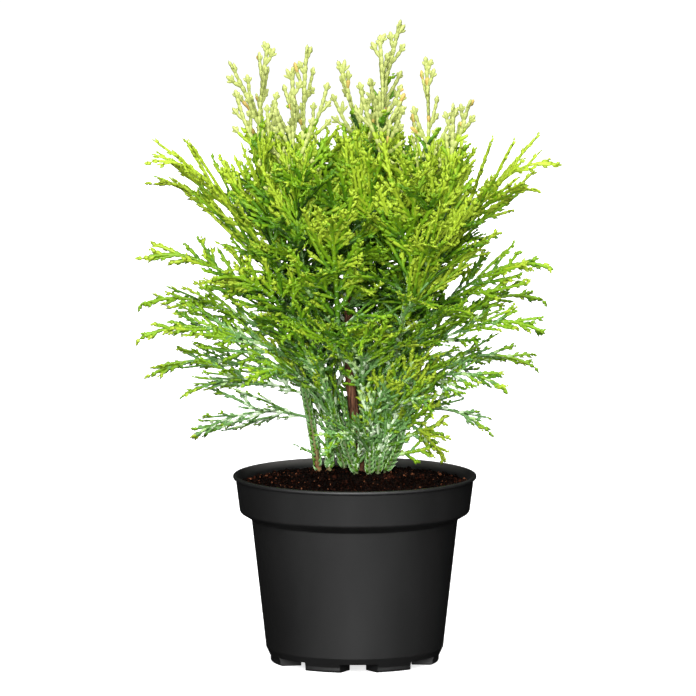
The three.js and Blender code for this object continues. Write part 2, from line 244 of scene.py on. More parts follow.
PAINTED_REFLECTION_EDGE = (INNER_RIM * MM, (INNER_RIM - 0.4) * MM)
PAINTED_REFLECTION_RISE = ((SOIL_EDGE + 2) * MM, (SOIL_EDGE + 7) * MM)
PAINTED_REFLECTION_BACK = (20 * MM, 70 * MM)


def plastic_finish(settings):
    """Moulded black plastic: a faint orange peel, flow lines up the wall, and a painted reflection of the
    light inside the rim at the back.
    """
    finish = new_finish("pot_plastic", Specular_IOR_Level=0.5)
    bloom = finish.noise(scale=26, detail=5, climb=0.35)
    grain = finish.noise(scale=900, detail=2)
    flow = finish.noise(scale=60, detail=3, climb=0.08)
    x, y, z = (finish.axis(letter) for letter in "XYZ")
    inside = finish.grey(x * x + y * y, PAINTED_REFLECTION_EDGE[0] ** 2, PAINTED_REFLECTION_EDGE[1] ** 2)
    painted_reflection = inside * finish.grey(z, *PAINTED_REFLECTION_RISE) * finish.grey(y, *PAINTED_REFLECTION_BACK)
    colour = finish.patches(bloom, 0.4, 0.75, settings.plastic, shade(25, 25, 25))
    # A pale grey on the inner wall at the back, just under the rim: a painted reflection of the light,
    # fading towards the soil and the sides
    colour = finish.between(painted_reflection, colour, shade(98, 96, 94))
    finish.dress(colour, 0.44 + 0.06 * bloom + 0.05 * grain)
    finish.relief(0.25 * flow + 0.12 * grain, distance=0.2 * MM, strength=0.35)
    return finish.owner


def peat_finish(settings):
    """Damp peat, from near black to red brown, with fine fibres."""
    finish = new_finish("peat", Specular_IOR_Level=0)
    clods = finish.noise(scale=90, detail=4)
    fibres = finish.noise(scale=1100, detail=3, climb=3)
    dark = finish.patches(clods, 0.35, 0.65, shade(5, 3, 2), settings.peat)
    finish.dress(finish.patches(fibres, 0.55, 0.8, dark, settings.fibre), 0.75 + 0.2 * fibres)
    finish.relief(fibres + clods, distance=0.6 * MM, strength=0.9)
    return finish.owner


def crumb_finish(name, settings, colour, roughness):
    """One colour of crumb, with dark specks."""
    finish = new_finish(name, Specular_IOR_Level=0.03)
    speck = finish.noise(scale=1500, detail=2)
    finish.dress(finish.patches(speck, 0.3, 0.7, settings.peat, colour), roughness + 0.2 * speck)
    return finish.owner


def bark_finish(settings):
    """Old bark: stringy, with red brown ridges and dark furrows."""
    finish = new_finish("old_bark", Specular_IOR_Level=0.2)
    strings = finish.noise(scale=900, detail=5, climb=0.16, roughness=0.65)
    blotches = finish.noise(scale=120, detail=3, climb=0.4)
    ridge = finish.patches(blotches, 0.35, 0.7, settings.trunk, shade(150, 104, 78))
    finish.dress(finish.patches(strings, 0.36, 0.6, settings.furrow, ridge), 0.7 + 0.25 * strings)
    finish.relief(strings, distance=0.5 * MM, strength=0.9)
    return finish.owner


OLD_BARK_TOP = (0.135, 0.17)
OLD_BARK_SIDE = 0.02
OLD_BARK_SLANT = 2
OLD_BARK_RAGGED = 0.03


def stem_finish(settings):
    """Young bark: orange brown at the foot of the left stem, and grey green elsewhere."""
    finish = new_finish("young_bark", Specular_IOR_Level=0.25)
    strings = finish.noise(scale=800, detail=4, climb=0.3, roughness=0.6)
    slant = OLD_BARK_SLANT * (finish.axis("X") + OLD_BARK_SIDE)
    height = finish.axis("Z") + OLD_BARK_RAGGED * strings + slant
    young = finish.patches(strings, 0.35, 0.7, settings.stem, shade(138, 156, 108))
    old = finish.patches(strings, 0.35, 0.7, shade(84, 52, 30), shade(152, 110, 68))
    finish.dress(finish.patches(height, *OLD_BARK_TOP, old, young), 0.6 + 0.3 * strings)
    finish.relief(strings, distance=0.3 * MM, strength=0.8)
    return finish.owner


def twig_finish():
    """Green bark of the thin twigs inside the sprays."""
    finish = new_finish("twig_bark", Specular_IOR_Level=0.2)
    blotches = finish.noise(scale=160, detail=2)
    finish.dress(finish.patches(blotches, 0.4, 0.6, shade(84, 96, 44), shade(120, 140, 74)), 0.8)
    return finish.owner


def leaf_finish(name, colour):
    """One plain tint of leaf. The crown's colours come from many tints dealt out by spray."""
    return new_finish("leaf_" + name, Base_Color=colour, Roughness=0.5, Specular_IOR_Level=0.35).owner


# Pieces

ROUNDING_STEPS = 5
ROUNDING_LIMIT = 0.45


def add_object(name, data):
    made = bpy.data.objects.new(name, data)
    bpy.context.scene.collection.objects.link(made)
    return made


def add_piece(name, mesh, materials, nodes=()):
    """A mesh as a piece of the plant, which stands for the named solids."""
    piece = add_object(name, mesh)
    for material in materials:
        mesh.materials.append(material)
    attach(piece, "root")
    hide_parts(*nodes)
    return piece


def finished_mesh(name, bm, smooth_angle=None):
    """The bmesh as a mesh, shaded smooth except at edges sharper than the angle."""
    if smooth_angle is not None:
        for face in bm.faces:
            face.smooth = True
        for edge in bm.edges:
            edge.smooth = len(edge.link_faces) == 2 and edge.calc_face_angle() < smooth_angle
    mesh = bpy.data.meshes.new(name)
    bm.to_mesh(mesh)
    bm.free()
    return mesh


def rounded(corners):
    """An outline of corners (radius, height, rounding), each rounding as a short curve."""
    outline = []
    for i, (radius, height, rounding) in enumerate(corners):
        corner = Vector((radius, height))
        if not rounding:
            outline.append(corner)
            continue
        before = Vector(corners[i - 1][:2]) - corner
        after = Vector(corners[i + 1][:2]) - corner
        start = corner + before.normalized() * min(rounding, before.length * ROUNDING_LIMIT)
        end = corner + after.normalized() * min(rounding, after.length * ROUNDING_LIMIT)
        for step in range(ROUNDING_STEPS + 1):
            share = step / ROUNDING_STEPS
            outline.append(start.lerp(corner, share).lerp(corner.lerp(end, share), share))
    return outline


def turned(outline, steps):
    """A bmesh turned round Z from an outline of radius and height that ends on the axis."""
    bm = bmesh.new()
    verts = [bm.verts.new((point.x * MM, 0, point.y * MM)) for point in outline]
    edges = [bm.edges.new(pair) for pair in zip(verts, verts[1:])]
    bmesh.ops.spin(
        bm, geom=verts + edges, cent=(0, 0, 0), axis=(0, 0, 1), angle=math.tau, steps=steps, use_merge=True
    )
    bmesh.ops.remove_doubles(bm, verts=bm.verts, dist=0.01 * MM)
    bmesh.ops.recalc_face_normals(bm, faces=bm.faces)
    return bm


def template(bm):
    """The points and triangles of a small shape that is repeated, as arrays."""
    bmesh.ops.triangulate(bm, faces=bm.faces)
    bm.verts.ensure_lookup_table()
    points = np.array([vert.co for vert in bm.verts])
    faces = np.array([[vert.index for vert in face.verts] for face in bm.faces])
    bm.free()
    return points, faces


def joined(name, shape, feet, frames, finishes):
    """One mesh of a shape repeated at each foot. A frame's rows carry the shape's X, Y and Z."""
    points, faces = shape
    placed = np.einsum("pk,nkj->npj", points, frames) + feet[:, None, :]
    listed = (faces[None] + len(points) * np.arange(len(feet))[:, None, None]).reshape(-1, 3)
    mesh = bpy.data.meshes.new(name)
    mesh.vertices.add(placed.shape[0] * placed.shape[1])
    mesh.vertices.foreach_set("co", (placed * MM).astype(np.float32).ravel())
    mesh.loops.add(listed.size)
    mesh.loops.foreach_set("vertex_index", listed.astype(np.int32).ravel())
    mesh.polygons.add(len(listed))
    mesh.polygons.foreach_set("loop_start", np.arange(0, listed.size, 3, dtype=np.int32))
    mesh.polygons.foreach_set("material_index", finishes.astype(np.int32).ravel())
    mesh.update(calc_edges=True)
    return mesh


# Pot

POT_PROFILE_STEPS = 144
BAND_TOP_RADIUS = 83.2
BAND_BOTTOM_RADIUS = 80.2
BAND_BOTTOM = 105.3
LEDGE_FALL = 4.8
BODY_TOP_RADIUS = 72.1
BODY_BOTTOM_RADIUS = 61.9
BODY_BOTTOM = 10.2
FOOT_RADIUS = 58.8
FOOT_TOP = 3.6
FOOT_INNER_RADIUS = 45
FLOOR_UNDERSIDE = 5.9
PAD_RADIUS = 24
LIP_HEIGHT = 2.4
NOTCHES = 7
NOTCH_INNER_RADIUS = 43
NOTCH_OUTER_RADIUS = 64
NOTCH_INNER_WIDTH = 9.3
NOTCH_OUTER_WIDTH = 34
NOTCH_TURN = -87.2
NOTCH_BELOW = -1
POT_SMOOTH = math.radians(40)


def pot_outline(height, lip_radius, wall):
    """The pot's outline from the middle of its underside, up outside and down inside."""
    floor_top = FLOOR_UNDERSIDE + wall
    lip_underside = height - LIP_HEIGHT
    return rounded([
        (0, 0, 0),
        (PAD_RADIUS, 0, 0.6),
        (PAD_RADIUS, FLOOR_UNDERSIDE, 0),
        (FOOT_INNER_RADIUS, FLOOR_UNDERSIDE, 0),
        (FOOT_INNER_RADIUS, 0, 0.6),
        (FOOT_RADIUS, 0, 1.6),
        (FOOT_RADIUS, FOOT_TOP, 0.6),
        (BODY_BOTTOM_RADIUS, BODY_BOTTOM, 0.3),
        (BODY_TOP_RADIUS, BAND_BOTTOM - LEDGE_FALL, 1),
        (BAND_BOTTOM_RADIUS, BAND_BOTTOM, 1.5),
        (BAND_TOP_RADIUS, lip_underside, 0.3),
        (lip_radius, lip_underside, 1.1),
        (lip_radius, height, 1.3),
        (BAND_TOP_RADIUS - wall, height, 0.8),
        (BAND_BOTTOM_RADIUS - wall, BAND_BOTTOM + wall, 1.5),
        (BODY_TOP_RADIUS - wall, BAND_BOTTOM - LEDGE_FALL + wall, 1),
        (BODY_BOTTOM_RADIUS - wall, BODY_BOTTOM + 1.5, 1),
        (FOOT_RADIUS - wall, floor_top, 0),
        (0, floor_top, 0),
    ])


def notch_cutter():
    """The wedges that cut the drainage notches, as one object."""
    bm = bmesh.new()
    for i in range(NOTCHES):
        wedge = bmesh.ops.create_cube(bm, size=1)["verts"]
        for vert in wedge:
            outer = vert.co.x > 0
            width = NOTCH_OUTER_WIDTH if outer else NOTCH_INNER_WIDTH
            x = NOTCH_OUTER_RADIUS if outer else NOTCH_INNER_RADIUS
            y = math.copysign(width / 2, vert.co.y)
            z = FLOOR_UNDERSIDE if vert.co.z > 0 else NOTCH_BELOW
            vert.co = Vector((x, y, z)) * MM
        turn = Matrix.Rotation(math.radians(NOTCH_TURN + i * 360 / NOTCHES), 3, "Z")
        bmesh.ops.rotate(bm, verts=wedge, cent=(0, 0, 0), matrix=turn)
    return add_object("notch_cutter", finished_mesh("notch_cutter", bm))


class CONIFER_OT_pot(bpy.types.Operator):
    """Turn the nursery pot and cut its drainage notches"""

    bl_idname = "conifer.pot"
    bl_label = "Pot"

    def execute(self, context):
        settings = context.scene.conifer_pot
        outline = pot_outline(settings.height / MM, settings.lip_radius / MM, settings.wall / MM)
        mesh = finished_mesh("nursery_pot", turned(outline, POT_PROFILE_STEPS))
        piece = add_piece("nursery_pot", mesh, [plastic_finish(settings)], ["pot"])
        cutter = notch_cutter()
        cut = piece.modifiers.new("notches", "BOOLEAN")
        cut.operation = "DIFFERENCE"
        cut.solver = "EXACT"
        cut.object = cutter
        seen = piece.evaluated_get(context.evaluated_depsgraph_get())
        bm = bmesh.new()
        bm.from_mesh(seen.to_mesh())
        piece.modifiers.clear()
        bpy.data.objects.remove(cutter)
        if not bm.faces:
            raise RuntimeError("the notches left nothing of the pot")
        notched = finished_mesh("nursery_pot", bm, POT_SMOOTH)
        notched.materials.append(mesh.materials[0])
        piece.data = notched
        return {"FINISHED"}


# Soil

SOIL_SEED = 11
SOIL_LEVEL_RADIUS = 34
SOIL_RINGS = 44
SOIL_STEPS = 160
SOIL_UNEVEN = 1.3
LUMP_SCALE = 0.07
FINE_LUMP_SCALE = 0.45
FINE_LUMP_OFFSET = 40
FINE_LUMP_SHARE = 0.7
LUMP_SINK = 0.35
WALL_CLEARANCE = 1.5
BED_SPREAD = 1.2
BED_FOOT_INSET = 2
BED_EVEN_HEIGHT = 5
CRUMB_REACH = 0.99
CRUMB_ANGULAR = (0.8, 0.4)
CRUMB_SPREAD = 0.42
CRUMB_FLATNESS = (0.45, 0.75)
CRUMB_LIFT = 0.2
CRUMB_SHARES = [0.54, 0.32, 0.11, 0.03]


def soil_height(radius):
    """Height of the soil's surface at a distance from the middle."""
    edge = BAND_TOP_RADIUS - WALL_CLEARANCE
    share = risen(radius, SOIL_LEVEL_RADIUS, edge - SOIL_LEVEL_RADIUS)
    return mix(SOIL_HIGH.z / MM, SOIL_EDGE, share)


def uneven(x, y):
    """Lumps of the soil's surface, in millimetres."""
    coarse = noise.noise(Vector((x, y, 0)) * LUMP_SCALE)
    fine = noise.noise(Vector((x, y, FINE_LUMP_OFFSET)) * FINE_LUMP_SCALE)
    return SOIL_UNEVEN * (coarse + FINE_LUMP_SHARE * fine - LUMP_SINK)


class CONIFER_OT_soil(bpy.types.Operator):
    """Fill the pot with peat and strew crumbs on it"""

    bl_idname = "conifer.soil"
    bl_label = "Soil"

    def execute(self, context):
        settings = context.scene.conifer_soil
        edge = BAND_BOTTOM_RADIUS + BED_SPREAD - WALL_CLEARANCE
        bed_bottom = BAND_BOTTOM + WALL_CLEARANCE
        surface = [Vector((edge * (1 - i / SOIL_RINGS), 0)) for i in range(SOIL_RINGS + 1)]
        for point in surface:
            point.y = soil_height(point.x)
        foot = Vector((BAND_BOTTOM_RADIUS - BED_FOOT_INSET, bed_bottom))
        bm = turned([Vector((0, bed_bottom)), foot, *surface], SOIL_STEPS)
        for vert in bm.verts:
            if vert.co.z > (bed_bottom + BED_EVEN_HEIGHT) * MM:
                vert.co.z += uneven(vert.co.x / MM, vert.co.y / MM) * MM
        mesh = finished_mesh("soil_bed", bm, math.pi)
        add_piece("soil_bed", mesh, [peat_finish(settings)], ["soil"])
        self.strew(settings, edge)
        return {"FINISHED"}

    def strew(self, settings, edge):
        """Crumbs and flakes of peat all over the surface, of four colours."""
        numbers = np.random.default_rng(SOIL_SEED)
        count = settings.crumbs
        bm = bmesh.new()
        bmesh.ops.create_icosphere(bm, subdivisions=1, radius=0.5)
        draw = dice(SOIL_SEED)
        for vert in bm.verts:
            vert.co *= varied(draw, *CRUMB_ANGULAR)
        shape = template(bm)
        reach = edge * np.sqrt(numbers.random(count)) * CRUMB_REACH
        turn = numbers.random(count) * math.tau
        feet = np.stack([reach * np.cos(turn), reach * np.sin(turn), np.zeros(count)], axis=1)
        for foot in feet:
            foot[2] = soil_height(math.hypot(foot[0], foot[1])) + uneven(foot[0], foot[1])
        sizes = settings.crumb / MM * np.exp(CRUMB_SPREAD * numbers.standard_normal((count, 1)))
        least, more = CRUMB_FLATNESS
        sizes = sizes * (least + more * numbers.random((count, 3)))
        feet[:, 2] += sizes[:, 2] * CRUMB_LIFT
        turns = np.linalg.qr(numbers.standard_normal((count, 3, 3)))[0]
        turns[:, :, 0] *= np.sign(np.linalg.det(turns))[:, None]
        frames = sizes[:, :, None] * turns
        kind = numbers.choice(len(CRUMB_SHARES), count, p=CRUMB_SHARES)
        finishes = np.repeat(kind[:, None], len(shape[1]), axis=1)
        mesh = joined("soil_crumbs", shape, feet, frames, finishes)
        materials = [
            crumb_finish("crumb_dark", settings, shade(8, 4, 3), 0.6),
            crumb_finish("crumb_brown", settings, shade(30, 16, 10), 0.7),
            crumb_finish("crumb_red", settings, settings.fibre, 0.7),
            crumb_finish("crumb_fibre", settings, shade(136, 84, 58), 0.75),
        ]
        add_piece("soil_crumbs", mesh, materials)


# Growing rule

GAP = 0.3
LIMB_FOOT = SOIL_HIGH.z / MM + GAP

# Each limb's name, foot, tip, bow of its middle, and radii at foot and tip
LIMBS = [
    ("trunk", (7, 9), (4, 5, 322), (-10, 0), (4.2, 1.3)),
    ("stem_left", (-25, 8), (-56, 2, 288), (2, -2), (2.1, 1.1)),
    ("stem_mid_left", (-18, 15), (-28, 22, 302), (5, 2), (2.1, 1)),
    ("stem_centre_left", (1, -3), (-38, -20, 292), (-6, -3), (1.9, 1)),
    ("stem_centre", (10, -5), (-12, -20, 240), (7, -3), (2.1, 1.1)),
    ("stem_centre_right", (16, 1), (42, -14, 288), (-1, -3), (2.1, 1.1)),
    ("stem_right", (21, 7), (33, -2, 163), (2, -1), (1.5, 1)),
    ("stem_back_left", (-7, 21), (-46, 46, 294), (-3, 4), (2, 1)),
    ("stem_back", (5, 24), (8, 54, 298), (0, 4), (2, 1)),
    ("stem_back_right", (19, 18), (56, 32, 290), (3, 4), (2.1, 1)),
]
ROOT_FLARE = 2
FLARE_FADE = 30

# Each side spray's turn, height and reach of its tip, and roll. Turns and rolls are in degrees
CROWN_AXIS_X = -8
TIERS = [
    [(4, 160, 102, -10), (176, 155, 106, 8), (-98, 158, 84, 10), (82, 160, 88, 0)],
    [(-12, 192, 117, 22), (190, 187, 116, 62), (-50, 184, 96, -15), (125, 190, 98, 12)],
    [(10, 203, 136, -12), (172, 198, 136, 10), (-128, 206, 110, 14), (76, 208, 112, -8)],
    [(-9, 233, 142, 14), (188, 229, 143, -16), (-84, 232, 116, -20), (112, 230, 118, 10)],
    [(13, 249, 143, -10), (168, 246, 144, 12), (-42, 252, 122, 28), (140, 250, 124, -10)],
    [(-6, 277, 147, 18), (184, 284, 140, -14), (-140, 276, 122, 24), (62, 288, 120, 12)],
    [(-14, 334, 138, 20), (170, 332, 135, -22), (-96, 322, 112, 30), (108, 328, 114, -12)],
    [(8, 347, 149, -24), (192, 354, 136, 30), (-58, 350, 100, -30), (72, 356, 108, 16)],
]
CROSS_SINK = 24
CROSS_LIFT = 26
LEVEL_TIP = 190
RISE_RATE = 0.45
LOWEST_TIP = 155
LIFT_LOW = 16
LIFT_RATE = 0.16
DROOP_LOW = -40
DROOP_RATE = 0.17
HANDLE = 0.36

# Each leader's name, limb, tip, turn of its fan's edge, and height of its root if that is beside the limb
LEADERS = [
    ("leader_top", "trunk", (32, 2, 450), 12),
    ("leader_left", "stem_left", (-60, -2, 434), -20),
    ("leader_mid_left", "stem_mid_left", (-33, 24, 430), 35),
    ("leader_centre_left", "stem_centre_left", (-43, -22, 420), 10),
    ("leader_front", "stem_centre", (-64, -48, 271), 205),
    ("leader_centre_right", "stem_centre_right", (49, -14, 426), -15),
    ("leader_low_right", "stem_right", (60, -14, 148), -60),
    ("leader_back_left", "stem_back_left", (-88, 38, 417), 50),
    ("leader_back", "stem_back", (-12, 58, 415), 0),
    ("leader_back_right", "stem_back_right", (81, 30, 391), 30),
    ("leader_inner", "trunk", (17, -16, 441), -30, 290),
    ("leader_right", "stem_centre_right", (68, -34, 396), 20, 242),
]
LEADER_LIFT = 60

AXIS_RADIUS = (1.5, 0.7)
TWIG_SHARE = 0.36
SHORTEST_SHOOT = 3.2
HALVINGS = 20
LENGTH_STEPS = 24
NORMAL_STEP = 0.01
DICE_SIZE = 2**32
DICE_APART = 2654435761
DICE_FACTOR = 1664525
DICE_STEP = 1013904223


def dice(seed):
    """A seeded run of numbers from 0 to 1, so that the plant always grows the same."""
    state = (seed + 1) * DICE_APART % DICE_SIZE

    def draw():
        nonlocal state
        state = (state * DICE_FACTOR + DICE_STEP) % DICE_SIZE
        return state / DICE_SIZE

    return draw


def varied(draw, low, spread):
    """A number drawn from low up to low plus the spread."""
    return low + spread * draw()


def swayed(draw, spread):
    """A number drawn from half the spread below nought to half above it."""
    return spread * (draw() - 0.5)


def either_side(draw):
    return 1 if draw() < 0.5 else -1


def mix(first, second, share):
    return first + (second - first) * share


def clamp(value):
    return min(max(value, 0), 1)


def risen(value, start, rise):
    """The share of a rise that a value has made since its start."""
    return clamp((value - start) / rise)


def at_height(height, heights, values):
    """A value read off a table by height."""
    return float(np.interp(height, heights, values))


def direction(azimuth, slope):
    flat = math.cos(slope)
    return Vector((flat * math.cos(azimuth), flat * math.sin(azimuth), math.sin(slope)))


def square_to(way, wanted):
    return (wanted - way * wanted.dot(way)).normalized()


def turned_about(vector, axis, angle):
    return Quaternion(axis, angle) @ vector


class Limb:
    """A tapering limb on a curve from the soil to its tip."""

    def __init__(self, name, foot, tip, bow, radius):
        self.name = name
        self.foot = Vector((*foot, LIMB_FOOT))
        self.tip = Vector(tip)
        self.middle = (self.foot + self.tip) / 2 + Vector((*bow, 0)) * 2
        self.radii = radius

    def point(self, share):
        return self.foot.lerp(self.middle, share).lerp(self.middle.lerp(self.tip, share), share)

    def tangent(self, share):
        return (self.middle - self.foot).lerp(self.tip - self.middle, share).normalized()

    def radius(self, share):
        flare = ROOT_FLARE * math.exp(-share * FLARE_FADE) if self.name == "trunk" else 0
        return mix(*self.radii, share) + flare

    def share_at(self, height):
        """The share of the curve at a height, found by halving, as every limb climbs all the way."""
        low, high = 0, 1
        for _ in range(HALVINGS):
            middle = (low + high) / 2
            if self.point(middle).z < height:
                low = middle
            else:
                high = middle
        return low


class Spray:
    """A flat spray on a curve from its root to its tip, with the roll of its fan."""

    def __init__(self, root, start, tip, end, edge, roll):
        handle = (tip - root).length * HANDLE
        self.knots = [root, root + start * handle, tip - end * handle, tip]
        self.edge = edge
        self.roll = roll
        places = [self.place(i / LENGTH_STEPS) for i in range(LENGTH_STEPS + 1)]
        self.length = sum((b - a).length for a, b in zip(places, places[1:]))

    def place(self, share):
        points = self.knots
        while len(points) > 1:
            points = [a.lerp(b, share) for a, b in zip(points, points[1:])]
        return points[0]

    def normal(self, share):
        """The fan's upward normal at a share of the axis."""
        onwards = self.place(min(share + NORMAL_STEP, 1))
        forward = (onwards - self.place(min(share, 1 - NORMAL_STEP))).normalized()
        across = turned_about(square_to(forward, self.edge), forward, self.roll)
        normal = forward.cross(across)
        return normal if normal.z > 0 else -normal

    def stretch(self, step, steps, turn):
        """A step along the axis: its ends, its way and length, and the fan's normal turned about it."""
        place = self.place(step / steps)
        onwards = self.place((step + 1) / steps)
        way = (onwards - place).normalized()
        normal = turned_about(square_to(way, self.normal(step / steps)), way, turn)
        return place, onwards, way, (onwards - place).length, normal


limbs = {name: Limb(name, *row) for name, *row in LIMBS}


def root_on_limb(candidates, height, azimuth, slope):
    """Just off the bark of the limb that lies furthest a spray's way, at a height."""
    outward = direction(azimuth, 0)
    places = []
    for limb in candidates:
        if limb.tip.z > height:
            share = limb.share_at(height)
            places.append((limb.point(share).dot(outward), limb.point(share), limb.radius(share)))
    _, point, radius = max(places, key=lambda place: place[0])
    corners_back = AXIS_RADIUS[0] * math.cos(math.pi / 6) * math.sin(slope)
    return point + outward * (radius + GAP + corners_back)


def tier_spray(turn, height, reach, roll):
    """A side spray: the higher it is, the more it climbs, and the less its tip droops."""
    azimuth = math.radians(turn)
    crossing = math.sin(azimuth) ** 2
    lift = math.radians(LIFT_LOW + (height - LOWEST_TIP) * LIFT_RATE + CROSS_LIFT * crossing)
    droop = math.radians(DROOP_LOW + (height - LOWEST_TIP) * DROOP_RATE)
    root_height = height - (height - LEVEL_TIP) * RISE_RATE - CROSS_SINK * crossing
    tip = direction(azimuth, 0) * reach + Vector((CROWN_AXIS_X, 0, height))
    root = root_on_limb(limbs.values(), root_height, azimuth, lift)
    heading = math.atan2(tip.y - root.y, tip.x - root.x)
    edge = direction(heading + math.pi / 2, 0)
    return Spray(root, direction(heading, lift), tip, direction(heading, droop), edge, math.radians(roll))


def leader_spray(limb, tip, edge, root=None):
    """A spray that goes on from its limb's tip, or from a root beside the limb."""
    limb = limbs[limb]
    tip = Vector(tip)
    start = limb.tangent(1)
    foot = limb.tip + start * GAP
    if root is not None:
        lift = math.radians(LEADER_LIFT)
        on_limb = limb.point(limb.share_at(root))
        heading = math.atan2(tip.y - on_limb.y, tip.x - on_limb.x)
        start = direction(heading, lift)
        foot = root_on_limb([limb], root, heading, lift)
    chord = (tip - foot).normalized()
    end = (chord * 2 - start).normalized()
    return Spray(foot, start, tip, end, direction(math.radians(edge), 0), 0)


# Shoots of scale leaves

# The tints by their places in TintSettings
DEEP, MID, BRIGHT, LIME, STRAW, BRONZE, BLUE, FROST, PALE = range(9)
TONE_STEPS = [(0.28, DEEP), (0.5, MID), (0.76, BRIGHT), (1.04, LIME)]
# By height the tone is lowest in the middle of the crown, as painted shade of its dense inside, and highest
# low down, as painted light against the shadow that the crown above casts there
TONE_HEIGHTS = [150, 210, 260, 350]
TONE_BASES = [0.42, 0.28, 0.14, 0.24]
TONE_RISES = [0.5, 0.54, 0.6, 0.68]
TONE_SPREAD = 0.6
STRAW_FROM = 362
STRAW_SPREAD = 50
BLOOM_MOST = 1.32
BLOOM_LOSS = 1.38
BLOOM_FADE = (140, 260)
BLOOM_AGEING = 1.05
BLOOM_SPREAD = 0.2
BLOOM_LINED = 0.04
BLOOM_THICK = 0.62
BLOOM_THIN = 0.42
FROST_TO = 0.34
BLUE_TO = 0.8
PALE_TO = 0.22

HABITS = {
    "side": {
        "bare": 0.02, "spacing": 5.8, "reach": 0.42, "taper": 1.0, "angles": (36, 22), "sway": 0.3,
        "size": 1.22, "lobes": 2.4, "lobe_length": 4.1,
    },
    "inner": {
        "bare": 0.06, "spacing": 5.2, "reach": 0.48, "taper": 0.8, "angles": (42, 32), "sway": 0.08,
        "size": 1.3, "lobes": 2.5, "lobe_length": 3.6,
    },
    "low": {
        "bare": 0.02, "spacing": 3.2, "reach": 0.5, "taper": 0.5, "angles": (60, 46), "sway": 0.4,
        "size": 1.5, "lobes": 2.5, "lobe_length": 3.8,
    },
}
HEIGHT_SHARE = 0.7
VIGOUR = 1.34
VIGOUR_GAIN = (200, 180)
FULL_HEIGHTS = [160, 200, 240, 300, 350]
FULL_SHARES = [1.35, 1.15, 0.95, 1, 1.35]
FEWEST_STEPS = 4
AXIS_WIDTHS = (1.25, 1)
AXIS_AGE = 0.8
TWIG_TO = 0.6
LINED_TO = 0.75
SIDE_TWIST = math.radians(50)
TWIST_START = 0.35
SHOOTS_TO = 0.98
OPENS_OVER = 0.12
STRONG_SHARE = 0.26
STRONG_REACH = 1.4
STRONG_ANGLE = 0.7
ANGLE_SPREAD = 8
SHOOT_AGE = 0.6
SHOOT_WIDTHS = (1.05, 0.92)
SHOOT_TONE_SPREAD = 0.42
CURL = math.radians(14)
ROLL_SPREAD = math.radians(36)
OVERLAP = 1.06
FIRST_LOBE = 0.7
LOBE_WIDTH = 0.84
LOBE_THICKNESS = 0.6
LOBE_PAST_TIP = 1.5
LOBE_ANGLE = math.radians(26)
LOBE_TILT = math.radians(30)
RIB_WIDTH = 0.62
RIB_THICKNESS = 1.9
RIB_AGE = 0.1
UNLINED_STEPS = 3
FORKED_FROM = 24
FORK_CHANCE = 0.28
FORK_ANGLE = math.radians(30)
FORK_SHARE = 0.5
FORK_LENGTH = (7, 17)
FORK_AGE = 0.8
FORK_TONE = 0.06
CLUB_SIZE = 1.2
CLUB_LENGTH = 1.2
CLUB_SINK = 0.5
TOOTH_PLACE = 0.72
NOTCH_WIDTH = 0.7
LOBE_SHOULDER = 0.42
LOBE_RIDGE = 0.34
BEAD_MIDDLE = 0.6
BEAD_TOOTH = 0.76
BEAD_TOOTH_REACH = 1.2
TWIG_SIDES = 5
TWIG_TAPER = 0.93
TWIG_LENGTH = 1.1
TWIG_SIDE = Vector((0.3, 1, 0.2))
TRIANGLES_IN_PIECE = 190000

# The least of what a length, angle or spacing is multiplied by, and how far above that it may be drawn
SLIGHTLY = (0.85, 0.3)
LOBE_VARIES = (0.8, 0.4)
SHOOT_VARIES = (0.75, 0.5)
FORK_VARIES = (0.7, 0.5)
LEAFY_VARIES = (0.6, 0.5)


def off_middle(value):
    """Whether a corner of a small shape of about unit size lies off its middle."""
    return abs(value) > 0.1


def stretch_shape():
    """A stretch of shoot: a ridge along either face, and a tooth on either edge where leaves part."""
    bm = bmesh.new()
    bmesh.ops.create_cone(bm, segments=4, radius1=0.5, radius2=0.5, depth=1)
    sides = [edge for edge in bm.edges if all(off_middle(vert.co.x) for vert in edge.verts)]
    bmesh.ops.subdivide_edges(bm, edges=sides, cuts=1)
    for vert in bm.verts:
        beside = off_middle(vert.co.x)
        if beside and not off_middle(vert.co.z):
            vert.co.z = TOOTH_PLACE - 0.5
        elif beside:
            vert.co.x *= NOTCH_WIDTH
        vert.co.z += 0.5
    return template(bm)


def lobe_shape():
    """A blunt leaf tip: widest just before its middle, with a low ridge on either face."""
    bm = bmesh.new()
    bmesh.ops.create_uvsphere(bm, u_segments=4, v_segments=2, radius=0.5)
    bmesh.ops.rotate(bm, verts=bm.verts, matrix=Matrix.Rotation(math.pi / 2, 3, "X"))
    for vert in bm.verts:
        if off_middle(vert.co.x):
            vert.co.z = LOBE_SHOULDER
        elif off_middle(vert.co.y):
            vert.co.z = LOBE_RIDGE
        else:
            vert.co.z += 0.5
    return template(bm)


def bead_shape():
    """A swollen stretch of a strong young shoot, with a leaf tip standing out at either shoulder."""
    bm = bmesh.new()
    bmesh.ops.create_uvsphere(bm, u_segments=6, v_segments=4, radius=0.5)
    for vert in bm.verts:
        at_middle = not off_middle(vert.co.z)
        tooth = abs(vert.co.x) > 0.45
        vert.co.z += 0.5
        if at_middle:
            vert.co.z = BEAD_TOOTH if tooth else BEAD_MIDDLE
        if tooth:
            vert.co.x *= BEAD_TOOTH_REACH
    return template(bm)


def twig_shape():
    """A stretch of twig, slightly longer than its pace, so that it overlaps the next."""
    bm = bmesh.new()
    bmesh.ops.create_cone(
        bm, cap_ends=True, segments=TWIG_SIDES, radius1=1, radius2=TWIG_TAPER, depth=TWIG_LENGTH
    )
    bmesh.ops.translate(bm, verts=bm.verts, vec=(0, 0, 0.5))
    return template(bm)


# Each kind of row, with how its pieces' names start, its shape, and the triangles in that
KINDS = {
    "scale": ("", stretch_shape, 12),
    "lobe": ("lobes_", lobe_shape, 8),
    "bead": ("beads_", bead_shape, 36),
    "twig": ("twigs_", twig_shape, 16),
}


